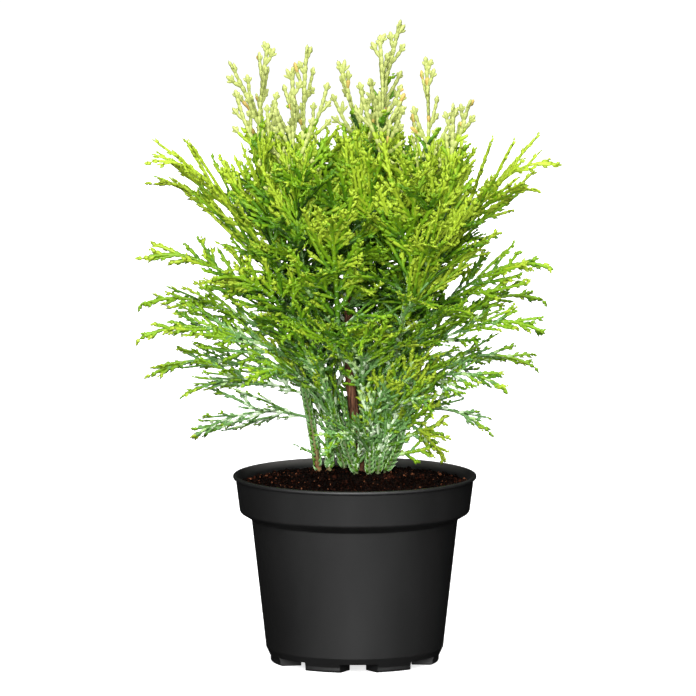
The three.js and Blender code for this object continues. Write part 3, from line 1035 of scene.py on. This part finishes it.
class Growth:
    """Stretches of shoot, leaf tips, swollen leaves and twigs as they grow, each a row of numbers."""

    def __init__(self, settings):
        self.pitch = settings.scale_length / MM
        self.width = settings.scale_width / MM
        self.thickness = settings.scale_thickness / MM
        self.rows = {kind: [] for kind in KINDS}

    def add(self, kind, foot, way, normal, length, tint, width, thickness):
        """A row: the foot, the three sides of the shape's frame, and the tint."""
        across = normal.cross(way) * width * self.width
        deep = normal * thickness * self.thickness
        self.rows[kind].append((*foot, *across, *deep, *(way * length), tint))

    def scale(self, foot, way, normal, pace, tint, width, thickness):
        self.add("scale", foot, way, normal, pace * OVERLAP, tint, width, thickness)

    def lobe(self, foot, way, normal, length, tint, width, thickness=LOBE_THICKNESS):
        self.add("lobe", foot, way, normal, length, tint, width, width * thickness)

    def rib(self, foot, way, normal, pace, tint, width):
        """The light line along the middle of a stretch of shoot."""
        self.lobe(foot, way, normal, pace * OVERLAP, tint, width * RIB_WIDTH, RIB_THICKNESS)

    def club(self, foot, way, normal, pace, tint, width):
        """The blunt end of a shoot."""
        self.lobe(foot - way * CLUB_SINK, way, normal, pace * CLUB_LENGTH, tint, width * CLUB_SIZE)

    def bead(self, foot, way, normal, length, tint, width):
        self.add("bead", foot, way, normal, length, tint, width, width * BEAD_THICKNESS)

    def twig(self, foot, tip, share):
        """A stretch of the twig inside a spray's axis, at a share of the axis."""
        radius = mix(*AXIS_RADIUS, share) * TWIG_SHARE
        way = tip - foot
        side = square_to(way.normalized(), TWIG_SIDE)
        across = side.cross(way.normalized())
        self.rows["twig"].append((*foot, *(side * radius), *(across * radius), *way, 0))

    def triangles(self):
        """How many triangles the largest kind has."""
        return max(len(rows) * KINDS[kind][2] for kind, rows in self.rows.items())


class Tone:
    """How light a spray's leaves are, and how much bloom they have, from its root to its tips. The lighter
    young tips are the leaves' own colour. The darker leaves towards the roots and in the middle of the
    crown are partly painted shade, and the lighter leaves low down are painted light.
    """

    def __init__(self, height, draw, lift):
        self.base = at_height(height, TONE_HEIGHTS, TONE_BASES) + swayed(draw, TONE_SPREAD) + lift
        self.rise = at_height(height, TONE_HEIGHTS, TONE_RISES)
        self.bloom = BLOOM_MOST - BLOOM_LOSS * risen(height, *BLOOM_FADE) - 2 * lift
        self.straw = height > STRAW_FROM + swayed(draw, STRAW_SPREAD)
        self.draw = draw

    def bloom_at(self, age):
        return self.bloom - BLOOM_AGEING * age + swayed(self.draw, BLOOM_SPREAD)

    def line(self, age):
        """The tint of the light line along the middle of leaves of an age."""
        return FROST if self.bloom_at(age) > BLOOM_LINED else PALE

    def tint(self, age, shift=0.0):
        bloom = self.bloom_at(age)
        if bloom > BLOOM_THICK:
            dealt = self.draw()
            return FROST if dealt < FROST_TO else BLUE if dealt < BLUE_TO else MID
        if bloom > BLOOM_THIN:
            return PALE if self.draw() < PALE_TO else BLUE
        # The tone rises from a spray's root to its tips: partly the young leaves' own lighter colour,
        # partly painted shade towards the roots inside the crown
        tone = self.base + self.rise * age + shift
        for limit, tint in TONE_STEPS:
            if tone < limit:
                return tint
        return STRAW if self.straw else LIME


class Shoots:
    """Grows side shoots of one habit, size and tone."""

    def __init__(self, growth, habit, size, tone, draw):
        self.growth = growth
        self.habit = habit
        self.size = size
        self.tone = tone
        self.draw = draw

    def shoot(self, foot, way, normal, length, ages, curl, forked=True):
        """A chain of scale leaves with lobes to both sides, and forks where it is long."""
        growth = self.growth
        draw = self.draw
        steps = max(round(length / growth.pitch / self.size), 1)
        pitch = length / steps
        side = either_side(draw)
        shift = swayed(draw, SHOOT_TONE_SPREAD) if forked else FORK_TONE
        travelled = 0
        next_lobe = growth.pitch * FIRST_LOBE
        for step in range(steps):
            share = (step + 0.5) / steps
            age = mix(*ages, share)
            width = self.size * mix(*SHOOT_WIDTHS, share)
            tint = self.tone.tint(age, shift)
            if step == steps - 1:
                growth.club(foot, way, normal, pitch, tint, width)
            else:
                growth.scale(foot, way, normal, pitch, tint, width, self.size)
                lined = steps > UNLINED_STEPS and share < LINED_TO
                if lined and self.tone.line(age + RIB_AGE) == FROST:
                    growth.rib(foot, way, normal, pitch, FROST, width)
            while next_lobe < travelled + pitch:
                place = foot + way * (next_lobe - travelled)
                ahead = length - next_lobe
                long_enough = length > FORKED_FROM and ahead > FORK_LENGTH[0]
                if forked and long_enough and draw() < FORK_CHANCE:
                    self.fork(place, way, normal, side, ahead, age)
                else:
                    self.lobe(place, way, normal, side, ahead, tint)
                side = -side
                next_lobe += self.habit["lobes"] * self.size * varied(draw, *SLIGHTLY)
            travelled += pitch
            foot = foot + way * pitch
            way = turned_about(way, normal, curl / steps)

    def fork(self, place, way, normal, side, ahead, age):
        low, high = FORK_LENGTH
        length = min(max(ahead * FORK_SHARE, low), high) * varied(self.draw, *FORK_VARIES)
        heading = turned_about(way, normal, side * FORK_ANGLE)
        self.shoot(place, heading, normal, length, (age, mix(age, 1, FORK_AGE)), -side * CURL, forked=False)

    def lobe(self, place, way, normal, side, ahead, tint):
        angle = LOBE_ANGLE * varied(self.draw, *SLIGHTLY)
        facing = turned_about(normal, way, LOBE_TILT * either_side(self.draw))
        heading = turned_about(way, facing, side * angle)
        reach = self.habit["lobe_length"] * self.size * varied(self.draw, *LOBE_VARIES)
        reach = min(reach, ahead + LOBE_PAST_TIP)
        self.growth.lobe(place, heading, facing, reach, tint, LOBE_WIDTH * self.size)


def grow_spray(growth, spray, habit, seed, lift=0.0, twist=0.0):
    """A whole spray: its axis of scale leaves over a twig, and its shoots to both sides."""
    draw = dice(seed)
    height = spray.place(HEIGHT_SHARE).z
    tone = Tone(height, draw, lift)
    size = habit["size"] * mix(1, VIGOUR, risen(height, *VIGOUR_GAIN))
    shoots = Shoots(growth, habit, size, tone, draw)
    longest = spray.length * habit["reach"] * at_height(height, FULL_HEIGHTS, FULL_SHARES)
    spacing = habit["spacing"] * size / habit["size"]
    steps = max(round(spray.length / growth.pitch / size), FEWEST_STEPS)
    side = either_side(draw)
    travelled = 0
    next_shoot = spray.length * habit["bare"]
    for step in range(steps):
        share = step / steps
        place, onwards, way, pace, normal = spray.stretch(step, steps, twist * (share + TWIST_START))
        if share < TWIG_TO:
            growth.twig(place, onwards, share)
        width = mix(*AXIS_WIDTHS, share) * size
        tint = tone.tint(share * AXIS_AGE)
        if step == steps - 1:
            growth.club(place, way, normal, pace, tint, width)
        else:
            growth.scale(place, way, normal, pace, tint, width, width)
            if share < LINED_TO:
                growth.rib(place, way, normal, pace, tone.line(share * AXIS_AGE), width)
        travelled += pace
        while next_shoot < travelled and share < SHOOTS_TO:
            next_shoot += spacing * varied(draw, *SLIGHTLY)
            opened = clamp((share - habit["bare"]) / OPENS_OVER + 0.5)
            strong = draw() < STRONG_SHARE
            length = longest * opened * (1 - share) ** habit["taper"]
            length *= (STRONG_REACH if strong else 1) * varied(draw, *SHOOT_VARIES)
            length = max(length, SHORTEST_SHOOT * size)
            angle = math.radians(mix(*habit["angles"], share) + swayed(draw, ANGLE_SPREAD))
            heading = turned_about(way, normal, side * angle * (STRONG_ANGLE if strong else 1))
            heading = (heading + normal * swayed(draw, 1) * habit["sway"] * 2).normalized()
            flat = square_to(heading, turned_about(normal, heading, swayed(draw, ROLL_SPREAD)))
            ages = (share * SHOOT_AGE, mix(SHOOT_AGE, 1, share))
            shoots.shoot(onwards, heading, flat, length, ages, -side * CURL)
            side = -side


# The strong young shoots at the top

BEAD_PITCH = 5.2
BEAD_OVERLAP = 1.5
BEAD_WIDTH = 1.58
BEAD_THICKNESS = 1.25
BEADS_FROM = 338
LEAFY_TO = 368
LAST_BEAD = 1.1
CHAIN_SPACING = 2
CHAIN_REACH = 0.5
CHAIN_SHORTEST = 4.6
CHAIN_END = 2
CHAIN_WIDTH = 0.92
CHAIN_FORK_WIDTH = 0.88
CHAIN_ANGLE = math.radians(30)
CHAIN_CURL = math.radians(16)
CLUB_ANGLE = math.radians(36)
FINGER_WIDTH = 0.72
FINGER_LENGTH = 0.9
FINGER_START = 0.3
LEADER_TWIST = math.radians(420)
LEADER_WIDTHS = (1.2, 1)
LEADER_SIZE = 1.4
LEADER_SWAY = 0.5
LEADER_TONE = 0.12
FRESH_GAIN = (332, 54)
FRESH_SPREAD = 0.36
FRESH_STEPS = [(0.1, MID), (0.32, BRIGHT), (0.56, LIME)]
BRONZE_SHARE = 0.03


def fresh_tint(height, draw):
    """The tint of a strong young shoot's leaves, from green below to straw at the top."""
    tone = risen(height, *FRESH_GAIN) + swayed(draw, FRESH_SPREAD)
    for limit, tint in FRESH_STEPS:
        if tone < limit:
            return tint
    return BRONZE if draw() < BRONZE_SHARE else STRAW


def grow_fingers(growth, start, way, normal, length, width, tints):
    """The two outer leaves of a club of three, spread to either side."""
    for turn, tint in zip((-CLUB_ANGLE, CLUB_ANGLE), tints):
        finger = turned_about(way, normal, turn)
        growth.bead(start, finger, normal, length * FINGER_LENGTH, tint, width * FINGER_WIDTH)


def grow_chain(growth, foot, way, normal, length, width, curl, draw, forked=True):
    """A chain of swollen leaves that ends in a club of three, with a smaller chain or two on it."""
    steps = max(round(length / BEAD_PITCH), 1)
    pitch = length / steps
    side = either_side(draw)
    for step in range(steps):
        tint = fresh_tint(foot.z, draw)
        last = step == steps - 1
        growth.bead(foot, way, normal, pitch * BEAD_OVERLAP, tint, width * (LAST_BEAD if last else 1))
        if last:
            tints = [fresh_tint(foot.z, draw) for _ in range(2)]
            grow_fingers(growth, foot + way * pitch * FINGER_START, way, normal, pitch, width, tints)
        elif forked and steps - step > CHAIN_END and step % CHAIN_SPACING:
            heading = turned_about(way, normal, side * CHAIN_ANGLE)
            reach = max((length - step * pitch) * CHAIN_REACH, CHAIN_SHORTEST)
            thin = width * CHAIN_FORK_WIDTH
            grow_chain(growth, foot, heading, normal, reach, thin, -side * CHAIN_CURL, draw, forked=False)
            side = -side
        foot = foot + way * pitch
        way = turned_about(way, normal, curl / steps)


def grow_leader(growth, spray, seed):
    """An upright spray: leafy below, and at the top a chain of swollen leaves with side chains."""
    draw = dice(seed)
    tone = Tone(spray.place(0.5).z, draw, LEADER_TONE)
    shoots = Shoots(growth, HABITS["inner"], LEADER_SIZE, tone, draw)
    steps = round(spray.length / BEAD_PITCH)
    side = either_side(draw)
    for step in range(steps):
        share = step / steps
        place, onwards, way, pace, normal = spray.stretch(step, steps, LEADER_TWIST * share)
        ahead = spray.length * (1 - share)
        growth.twig(place, onwards, share)
        width = mix(*LEADER_WIDTHS, share) * BEAD_WIDTH
        if place.z > BEADS_FROM:
            last = step == steps - 1
            tint = fresh_tint(place.z, draw)
            growth.bead(place, way, normal, pace * (1 if last else BEAD_OVERLAP), tint, width)
            if last:
                start = place - way * pace * FINGER_START
                grow_fingers(growth, start, way, normal, pace, width, (STRAW, STRAW))
            elif step % CHAIN_SPACING == 0:
                reach = max(ahead * CHAIN_REACH * varied(draw, *FORK_VARIES), CHAIN_SHORTEST)
                heading = turned_about(way, normal, side * CHAIN_ANGLE * varied(draw, *SLIGHTLY))
                thin = BEAD_WIDTH * CHAIN_WIDTH
                grow_chain(growth, onwards, heading, normal, reach, thin, -side * CHAIN_CURL, draw)
                side = -side
            continue
        growth.scale(place, way, normal, pace, tone.tint(share * AXIS_AGE), width, width)
        growth.rib(place, way, normal, pace, tone.line(share), width)
        for turn in (side, -side):
            length = min(ahead * CHAIN_REACH * varied(draw, *LEAFY_VARIES), LEAFY_TO - place.z)
            length = max(length, SHORTEST_SHOOT)
            heading = turned_about(way, normal, turn * CHAIN_ANGLE * varied(draw, *SLIGHTLY))
            heading = (heading + normal * swayed(draw, 1) * LEADER_SWAY).normalized()
            flat = square_to(heading, normal)
            shoots.shoot(onwards, heading, flat, length, (share, AXIS_AGE), -turn * CURL)


def add_growth(name, growths, tints, nodes):
    """A piece of each kind of row that the growths of several sprays have."""
    twig_bark = [bpy.data.materials.get("twig_bark") or twig_finish()]
    for kind, (start, make_shape, _) in KINDS.items():
        rows = np.array([row for growth in growths for row in growth.rows[kind]])
        if len(rows):
            shape = make_shape()
            dealt = np.repeat(rows[:, 12:13], len(shape[1]), axis=1)
            mesh = joined(start + name, shape, rows[:, :3], rows[:, 3:12].reshape(-1, 3, 3), dealt)
            add_piece(start + name, mesh, twig_bark if kind == "twig" else tints, nodes)


def add_in_pieces(name, grown, tints):
    """Sprays, each a node and its growth, joined in as few pieces as keep under the limit of triangles."""
    batches = [[]]
    count = 0
    for node, growth in grown:
        triangles = growth.triangles()
        if count + triangles > TRIANGLES_IN_PIECE:
            batches.append([])
            count = 0
        batches[-1].append((node, growth))
        count += triangles
    for i, batch in enumerate(batches):
        nodes = [node for node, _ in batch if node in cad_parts]
        add_growth(f"{name}_{i + 1}", [growth for _, growth in batch], tints, nodes)


def leaf_tints(context):
    settings = context.scene.conifer_tints
    made = []
    for name in TintSettings.__annotations__:
        known = bpy.data.materials.get("leaf_" + name)
        made.append(known or leaf_finish(name, getattr(settings, name)))
    return made


# Trunk and stems

TRUNK_SIDES = 32
STEM_SIDES = 14
STEM_RELIEF = 0.45
RINGS_PER_MM = 0.9
RIDGE_PATTERN = (3.2, 0.09, 0)
STRING_PATTERN = (7, 0.22, 50)
STRING_SHARE = 0.6
FOOT_SINK = 1.5
BARK_SMOOTH = math.radians(60)


def bark_pattern(outward, height, turns, climb, offset):
    """A pattern round a limb, drawn out along it."""
    return noise.noise(Vector((outward.x * turns, outward.y * turns, height * climb + offset)))


def roll_tube(bm, limb, sides, relief):
    """A grid rolled round a limb's curve, with stringy ridges."""
    rings = round((limb.tip - limb.foot).length * RINGS_PER_MM)
    made = bmesh.ops.create_grid(bm, x_segments=sides, y_segments=rings, size=0.5)["verts"]
    for vert in made:
        angle = (vert.co.x + 0.5) * math.tau
        share = vert.co.y + 0.5
        way = limb.tangent(share)
        side = square_to(way, Vector((1, 0, 0)))
        outward = side * math.cos(angle) + way.cross(side) * math.sin(angle)
        height = limb.point(share).z
        ridges = bark_pattern(outward, height, *RIDGE_PATTERN)
        strings = bark_pattern(outward, height, *STRING_PATTERN)
        radius = limb.radius(share) + relief * (ridges + STRING_SHARE * strings)
        vert.co = (limb.point(share) + outward * radius) * MM
        if share < 0.5 / rings:
            vert.co.z = (LIMB_FOOT - FOOT_SINK) * MM
    bmesh.ops.remove_doubles(bm, verts=made, dist=0.001 * MM)


def add_bark(name, dressed, sides, relief, material):
    """The bark of several limbs as one piece, closed at their ends."""
    bm = bmesh.new()
    for limb in dressed:
        roll_tube(bm, limb, sides, relief)
    bmesh.ops.holes_fill(bm, edges=[edge for edge in bm.edges if edge.is_boundary], sides=0)
    bmesh.ops.recalc_face_normals(bm, faces=bm.faces)
    mesh = finished_mesh(name, bm, BARK_SMOOTH)
    add_piece(name, mesh, [material], [limb.name for limb in dressed])


class CONIFER_OT_limbs(bpy.types.Operator):
    """Roll the trunk and the stems with their bark"""

    bl_idname = "conifer.limbs"
    bl_label = "Trunk and Stems"

    def execute(self, context):
        settings = context.scene.conifer_bark
        relief = settings.relief / MM
        trunk, *stems = limbs.values()
        add_bark("trunk_bark", [trunk], TRUNK_SIDES, relief, bark_finish(settings))
        add_bark("stem_bark", stems, STEM_SIDES, relief * STEM_RELIEF, stem_finish(settings))
        return {"FINISHED"}


# Crown

SIDE_LIFTS = {"tier8_spray1": 0.2, "tier8_spray2": 0.1}


class CONIFER_OT_side_sprays(bpy.types.Operator):
    """Grow the tiers of spreading side sprays"""

    bl_idname = "conifer.side_sprays"
    bl_label = "Side Sprays"

    def execute(self, context):
        settings = context.scene.conifer_crown
        grown = []
        for i, rows in enumerate(TIERS):
            for j, row in enumerate(rows):
                name = f"tier{i + 1}_spray{j + 1}"
                growth = Growth(settings)
                twist = SIDE_TWIST if (i + j) % 2 else -SIDE_TWIST
                lift = SIDE_LIFTS.get(name, 0)
                grow_spray(growth, tier_spray(*row), HABITS["side"], i * len(rows) + j, lift, twist)
                grown.append((name, growth))
        add_in_pieces("side_foliage", grown, leaf_tints(context))
        return {"FINISHED"}


LEADER_SEED = 60
ARCHING_HABITS = {"leader_front": "side", "leader_low_right": "low"}
ARCHING_LIFTS = {"leader_front": 0.1, "leader_low_right": 0.24}


class CONIFER_OT_leaders(bpy.types.Operator):
    """Grow the upright sprays that make the top"""

    bl_idname = "conifer.leaders"
    bl_label = "Leaders"

    def execute(self, context):
        settings = context.scene.conifer_crown
        grown = []
        for i, (name, *row) in enumerate(LEADERS):
            growth = Growth(settings)
            spray = leader_spray(*row)
            if name in ARCHING_HABITS:
                habit = HABITS[ARCHING_HABITS[name]]
                grow_spray(growth, spray, habit, LEADER_SEED + i, ARCHING_LIFTS[name])
            else:
                grow_leader(growth, spray, LEADER_SEED + i)
            grown.append((name, growth))
        add_in_pieces("top_foliage", grown, leaf_tints(context))
        return {"FINISHED"}


# Each foot sprig's limb, height of its root, turn, slope, length, tone's lift, and roll if it has one
FOOT_SPRIGS = [
    ("stem_left", 144, 176, 24, 13, -0.2),
    ("stem_centre_left", 127, -70, 66, 20, 0.12),
    ("stem_centre_left", 128, -24, 78, 26, 0),
    ("stem_centre_left", 132, -140, 76, 38, 0),
    ("stem_centre", 127, -150, 80, 26, 0),
    ("stem_centre", 130, -80, 82, 36, 0),
    ("stem_centre_right", 129, -40, 70, 40, 0),
    ("trunk", 126, -95, 80, 24, 0),
    ("trunk", 128, -60, 74, 22, 0),
    ("stem_mid_left", 128, -100, 70, 34, 0),
    ("stem_right", 156, -12, 22, 32, 0.3, 78),
    ("stem_right", 164, -34, 40, 32, 0.3, 66),
    ("stem_right", 144, -28, 14, 30, 0.3, 74),
]
SPRIG_SEED = 900
INNER_LOW = 128
INNER_START = 4
INNER_LIFTS = {"stem_right": 0.12}
INNER_FROM = {"trunk": 204, "stem_left": 198, "stem_mid_left": 140}
FOOT_SPRAYS_TO = 192
FOOT_SPREAD = math.radians(100)
FOOT_HEADINGS = {"stem_centre_left": math.radians(205), "stem_centre": math.radians(-15)}
FOOT_THINNING = 2.6
LEADER_INNER = (0.04, 0.6)
LEADER_THINNING = 1.2
INNER_SEED = 200
SEEDS_APART = 100
GOLDEN_TURN = math.radians(137.5)
INNER_LENGTH = (48, 86)
INNER_HEIGHTS = [130, 170, 220, 340]
INNER_SLOPES = [80, 72, 44, 62]
INNER_FALLS = [30, 36, 56, 16]
INNER_SLOPE_SPREAD = 24
INNER_ROLL = math.radians(80)
INNER_SHORTEST = 16
INNER_TRIM = 0.85
CORE_X = 2
CORE_HEIGHTS = [130, 156, 184, 219, 254, 312, 334, 354, 368]
CORE_RADII = [36, 48, 56, 72, 88, 102, 92, 64, 0]


def grow_sprig(growth, seed, limb, height, turn, slope, length, lift, roll=0):
    """A small spray that stands nearly upright at the foot of the plant."""
    way = direction(math.radians(turn), math.radians(slope))
    root = limbs[limb].point(limbs[limb].share_at(height))
    edge = direction(math.radians(turn + 90), 0)
    spray = Spray(root, way, root + way * length, way, edge, math.radians(roll))
    grow_spray(growth, spray, HABITS["inner"], seed, lift)


def grow_inner(growth, root, turn, draw, seed, lift=0.0):
    """A short spray that keeps to the dense middle of the crown."""
    slope = math.radians(at_height(root.z, INNER_HEIGHTS, INNER_SLOPES) + swayed(draw, INNER_SLOPE_SPREAD))
    fall = math.radians(at_height(root.z, INNER_HEIGHTS, INNER_FALLS))
    length = mix(*INNER_LENGTH, draw())
    start = direction(turn, slope)
    end = direction(turn, slope - fall)
    way = (start + end).normalized()
    while length > INNER_SHORTEST:
        tip = root + way * length
        if math.hypot(tip.x - CORE_X, tip.y) < at_height(tip.z, CORE_HEIGHTS, CORE_RADII):
            break
        length *= INNER_TRIM
    edge = direction(turn + math.pi / 2, 0)
    spray = Spray(root, start, root + way * length, end, edge, swayed(draw, INNER_ROLL))
    grow_spray(growth, spray, HABITS["inner"], seed, lift)


def grow_along_limb(growth, limb, spacing, draw, seed):
    """Inner sprays up a limb: the low ones face outwards and stand further apart."""
    height = INNER_FROM.get(limb.name, INNER_LOW) + INNER_START * draw()
    turn = draw() * math.tau
    while height < limb.tip.z:
        place = limb.point(limb.share_at(height))
        away = place - limbs["trunk"].point(limbs["trunk"].share_at(height))
        outward = FOOT_HEADINGS.get(limb.name, math.atan2(away.y, away.x))
        spread = swayed(draw, FOOT_SPREAD)
        low = height < FOOT_SPRAYS_TO
        heading = outward + spread if low else turn
        grow_inner(growth, place, heading, draw, seed + round(height), INNER_LIFTS.get(limb.name, 0))
        height += spacing * varied(draw, *LOBE_VARIES) * (FOOT_THINNING if low else 1)
        turn += GOLDEN_TURN


def grow_along_leader(growth, spray, spacing, draw, seed):
    """Inner sprays up the lower part of a leader."""
    turn = draw() * math.tau
    share, last = LEADER_INNER
    while share < last:
        grow_inner(growth, spray.place(share), turn, draw, seed + round(SEEDS_APART * share))
        share += spacing * LEADER_THINNING / spray.length
        turn += GOLDEN_TURN


CLOTHING_PITCH = 3
CLOTHING_START = 2
CLOTHING_FULL = 1.55
CLOTHING_FADE = 80
CLOTHING_LEAN = (0.22, 0.24)
CLOTHING_SINK = 0.75
CLOTHING_SHARE = 0.6
CLOTHING_LENGTH = 1.6
CLOTHING_WIDTH = 1.3
LINE_LENGTH = 1.7
LINE_WIDTH = 0.5
LINE_THICKNESS = 1.9
BARE_FOOT = (124, 146)
BARE_FOOT_FULL = 1.4


def clothe(growth, limb, draw):
    """Old scale leaves in twos round a stem, each with a light line. The left stem's foot is bare."""
    bare, covered = BARE_FOOT
    bare_foot = limb.name == "stem_left"
    height = LIMB_FOOT - CLOTHING_START
    turn = math.pi / 4
    while height < limb.tip.z:
        share = limb.share_at(height)
        full = mix(CLOTHING_FULL, 1, risen(height, LIMB_FOOT, CLOTHING_FADE))
        if bare_foot:
            full = BARE_FOOT_FULL
        way = limb.tangent(share)
        side = square_to(way, Vector((1, 0, 0)))
        for half in (0, math.pi):
            outward = turned_about(side, way, turn + half)
            lean = (way + outward * varied(draw, *CLOTHING_LEAN) * full).normalized()
            foot = limb.point(share) + outward * limb.radius(share) * CLOTHING_SINK
            flat = square_to(lean, outward)
            if not bare_foot or draw() < (height - bare) / (covered - bare):
                pace = CLOTHING_PITCH * CLOTHING_LENGTH * full
                tint = BLUE if draw() < CLOTHING_SHARE else MID
                growth.lobe(foot, lean, flat, pace, tint, CLOTHING_WIDTH * full)
                pace = CLOTHING_PITCH * LINE_LENGTH * full
                tint = FROST if draw() < CLOTHING_SHARE else PALE
                growth.lobe(foot, lean, flat, pace, tint, LINE_WIDTH, LINE_THICKNESS * full)
        turn += math.pi / 2
        height += CLOTHING_PITCH / 2


class CONIFER_OT_inner_sprays(bpy.types.Operator):
    """Grow the short sprays along the limbs, and the scale leaves that clothe the stems"""

    bl_idname = "conifer.inner_sprays"
    bl_label = "Inner Sprays"

    def execute(self, context):
        settings = context.scene.conifer_crown
        spacing = settings.inner_spacing / MM
        grown = []
        for i, limb in enumerate(limbs.values()):
            draw = dice(INNER_SEED + i)
            growth = Growth(settings)
            if limb.name != "trunk":
                clothe(growth, limb, draw)
            grow_along_limb(growth, limb, spacing, draw, INNER_SEED + SEEDS_APART * i)
            grown.append((limb.name + "_inner", growth))
        for i, (name, *row) in enumerate(LEADERS):
            if name not in ARCHING_HABITS:
                draw = dice(INNER_SEED * 2 + i)
                seed = INNER_SEED * 3 + SEEDS_APART * i
                growth = Growth(settings)
                grow_along_leader(growth, leader_spray(*row), spacing, draw, seed)
                grown.append((name + "_inner", growth))
        growth = Growth(settings)
        for i, row in enumerate(FOOT_SPRIGS):
            grow_sprig(growth, SPRIG_SEED + i, *row)
        grown.append(("foot_sprigs", growth))
        add_in_pieces("inner_foliage", grown, leaf_tints(context))
        return {"FINISHED"}


# Stage

CAMERA_AIM = Vector((-4.7, 0, 220)) * MM
VIEW_WIDTH = 485 * MM
SENSOR = 36
FLOOR_SIDES = 96
FLOOR_GLOW = 0.72
SKY_SPAN = (-0.25, 0.35)
SKY_STRENGTHS = (0.12, 1.25)
CARD_DISTANCE = 3
CARD_HEIGHTS = (0.02, 1.3)
CARD_TURN = math.radians(116)
CARD_STEPS = 24
CARD_GLOW = 3.4

# Each lamp's name, place, size, share of the front light's power, and whether it shows in a gloss
LAMPS = [
    ("front_softbox", (-0.4, -2.6, 1.3), (1.7, 1.7), 1, True),
    ("top_softbox", (0.2, -0.5, 2.6), (1.4, 1.4), 0.5, True),
    ("low_softbox", (0, -3.6, 0.28), (1.4, 0.5), 0.34, False),
    ("back_softbox", (0.5, 2.7, 1.2), (1.7, 1.7), 0.5, False),
]


def turn_towards(thing, way):
    """Turn a lamp or a camera, which looks down its own Z, to look along a way."""
    thing.rotation_mode = "QUATERNION"
    thing.rotation_quaternion = way.to_track_quat("-Z", "Y")


class CONIFER_OT_stage(bpy.types.Operator):
    """Set the pale floor, the soft studio light and the camera"""

    bl_idname = "conifer.stage"
    bl_label = "Stage"

    def execute(self, context):
        settings = context.scene.conifer_stage
        context.scene.view_settings.view_transform = "Standard"
        self.set_floor(settings)
        self.set_sky(context, settings)
        for row in LAMPS:
            self.set_lamp(settings.key, *row)
        self.set_card()
        self.set_camera(context, settings)
        return {"FINISHED"}

    def set_floor(self, settings):
        bm = bmesh.new()
        bmesh.ops.create_circle(bm, cap_ends=True, segments=FLOOR_SIDES, radius=settings.floor_radius)
        floor = add_object("floor", finished_mesh("floor", bm))
        finish = new_finish("pale_floor", Roughness=0.9, Specular_IOR_Level=0.1)
        tone = finish.noise(scale=3, detail=2)
        finish.feed(finish.surface, {
            "Base Color": finish.between(tone, (0.78,) * 3, (0.8,) * 3),
            "Emission Color": (1, 1, 1),
            "Emission Strength": FLOOR_GLOW,
        })
        floor.data.materials.append(finish.owner)
        floor.visible_glossy = False
        floor.visible_diffuse = False

    def set_sky(self, context, settings):
        """A white sky that is brightest overhead and dim below the floor."""
        world = bpy.data.worlds.new("studio")
        sky = Finish(world, "Background", Color=(1, 1, 1))
        way = sky.node("ShaderNodeTexCoord", output="Generated")
        height = sky.node("ShaderNodeSeparateXYZ", {}, {"Vector": way}, "Z")
        low, high = (share * settings.sky for share in SKY_STRENGTHS)
        strength = sky.grey(height, *SKY_SPAN, low, high)
        sky.feed(sky.surface, {"Strength": strength})
        world.cycles_visibility.glossy = False
        context.scene.world = world

    def set_lamp(self, key, name, place, size, share, glossy):
        data = bpy.data.lights.new(name, "AREA")
        data.shape = "RECTANGLE"
        data.size, data.size_y = size
        data.energy = key * share
        lamp = add_object(name, data)
        lamp.location = place
        turn_towards(lamp, CAMERA_AIM - Vector(place))
        lamp.visible_camera = False
        lamp.visible_glossy = glossy

    def set_card(self):
        """A low bright card bent round the front, which shows only as the sheen on the pot."""
        bm = bmesh.new()
        ends = [bm.verts.new((0, -CARD_DISTANCE, height)) for height in CARD_HEIGHTS]
        edge = bm.edges.new(ends)
        bmesh.ops.rotate(bm, verts=ends, matrix=Matrix.Rotation(-CARD_TURN / 2, 3, "Z"))
        bmesh.ops.spin(
            bm, geom=[*ends, edge], cent=(0, 0, 0), axis=(0, 0, 1), angle=CARD_TURN, steps=CARD_STEPS
        )
        card = add_object("front_card", finished_mesh("front_card", bm))
        finish = new_finish("card_glow", Emission_Color=(1, 1, 1), Emission_Strength=CARD_GLOW)
        card.data.materials.append(finish.owner)
        card.visible_camera = False
        card.visible_diffuse = False
        card.visible_shadow = False
        card.visible_transmission = False

    def set_camera(self, context, settings):
        data = bpy.data.cameras.new("camera")
        data.sensor_width = SENSOR
        data.lens = SENSOR * settings.camera_distance / VIEW_WIDTH
        camera = add_object("camera", data)
        back = Vector((0, -math.cos(settings.camera_rise), math.sin(settings.camera_rise)))
        camera.location = CAMERA_AIM + back * settings.camera_distance
        turn_towards(camera, -back)
        context.scene.camera = camera


OPERATORS = [
    CONIFER_OT_pot,
    CONIFER_OT_soil,
    CONIFER_OT_limbs,
    CONIFER_OT_side_sprays,
    CONIFER_OT_leaders,
    CONIFER_OT_inner_sprays,
    CONIFER_OT_stage,
]


class CONIFER_PT_panel(bpy.types.Panel):
    """The steps that build the conifer, with their sizes and colours"""

    bl_idname = "CONIFER_PT_panel"
    bl_label = "Potted Conifer"
    bl_space_type = "VIEW_3D"
    bl_region_type = "UI"
    bl_category = "Conifer"

    def draw(self, context):
        for operator in OPERATORS:
            self.layout.operator(operator.bl_idname)
        for name, group in SETTINGS.items():
            box = self.layout.box()
            for prop in group.__annotations__:
                box.prop(getattr(context.scene, name), prop)


def register():
    for group in (*SETTINGS.values(), *OPERATORS, CONIFER_PT_panel):
        bpy.utils.register_class(group)
    for name, group in SETTINGS.items():
        setattr(bpy.types.Scene, name, bpy.props.PointerProperty(type=group))


def unregister():
    for name in SETTINGS:
        delattr(bpy.types.Scene, name)
    for group in (CONIFER_PT_panel, *reversed(OPERATORS), *SETTINGS.values()):
        bpy.utils.unregister_class(group)


def main():
    register()
    bpy.ops.conifer.pot()
    bpy.ops.conifer.soil()
    bpy.ops.conifer.limbs()
    bpy.ops.conifer.side_sprays()
    bpy.ops.conifer.leaders()
    bpy.ops.conifer.inner_sprays()
    bpy.ops.conifer.stage()


if __name__ == "__main__":
    main()
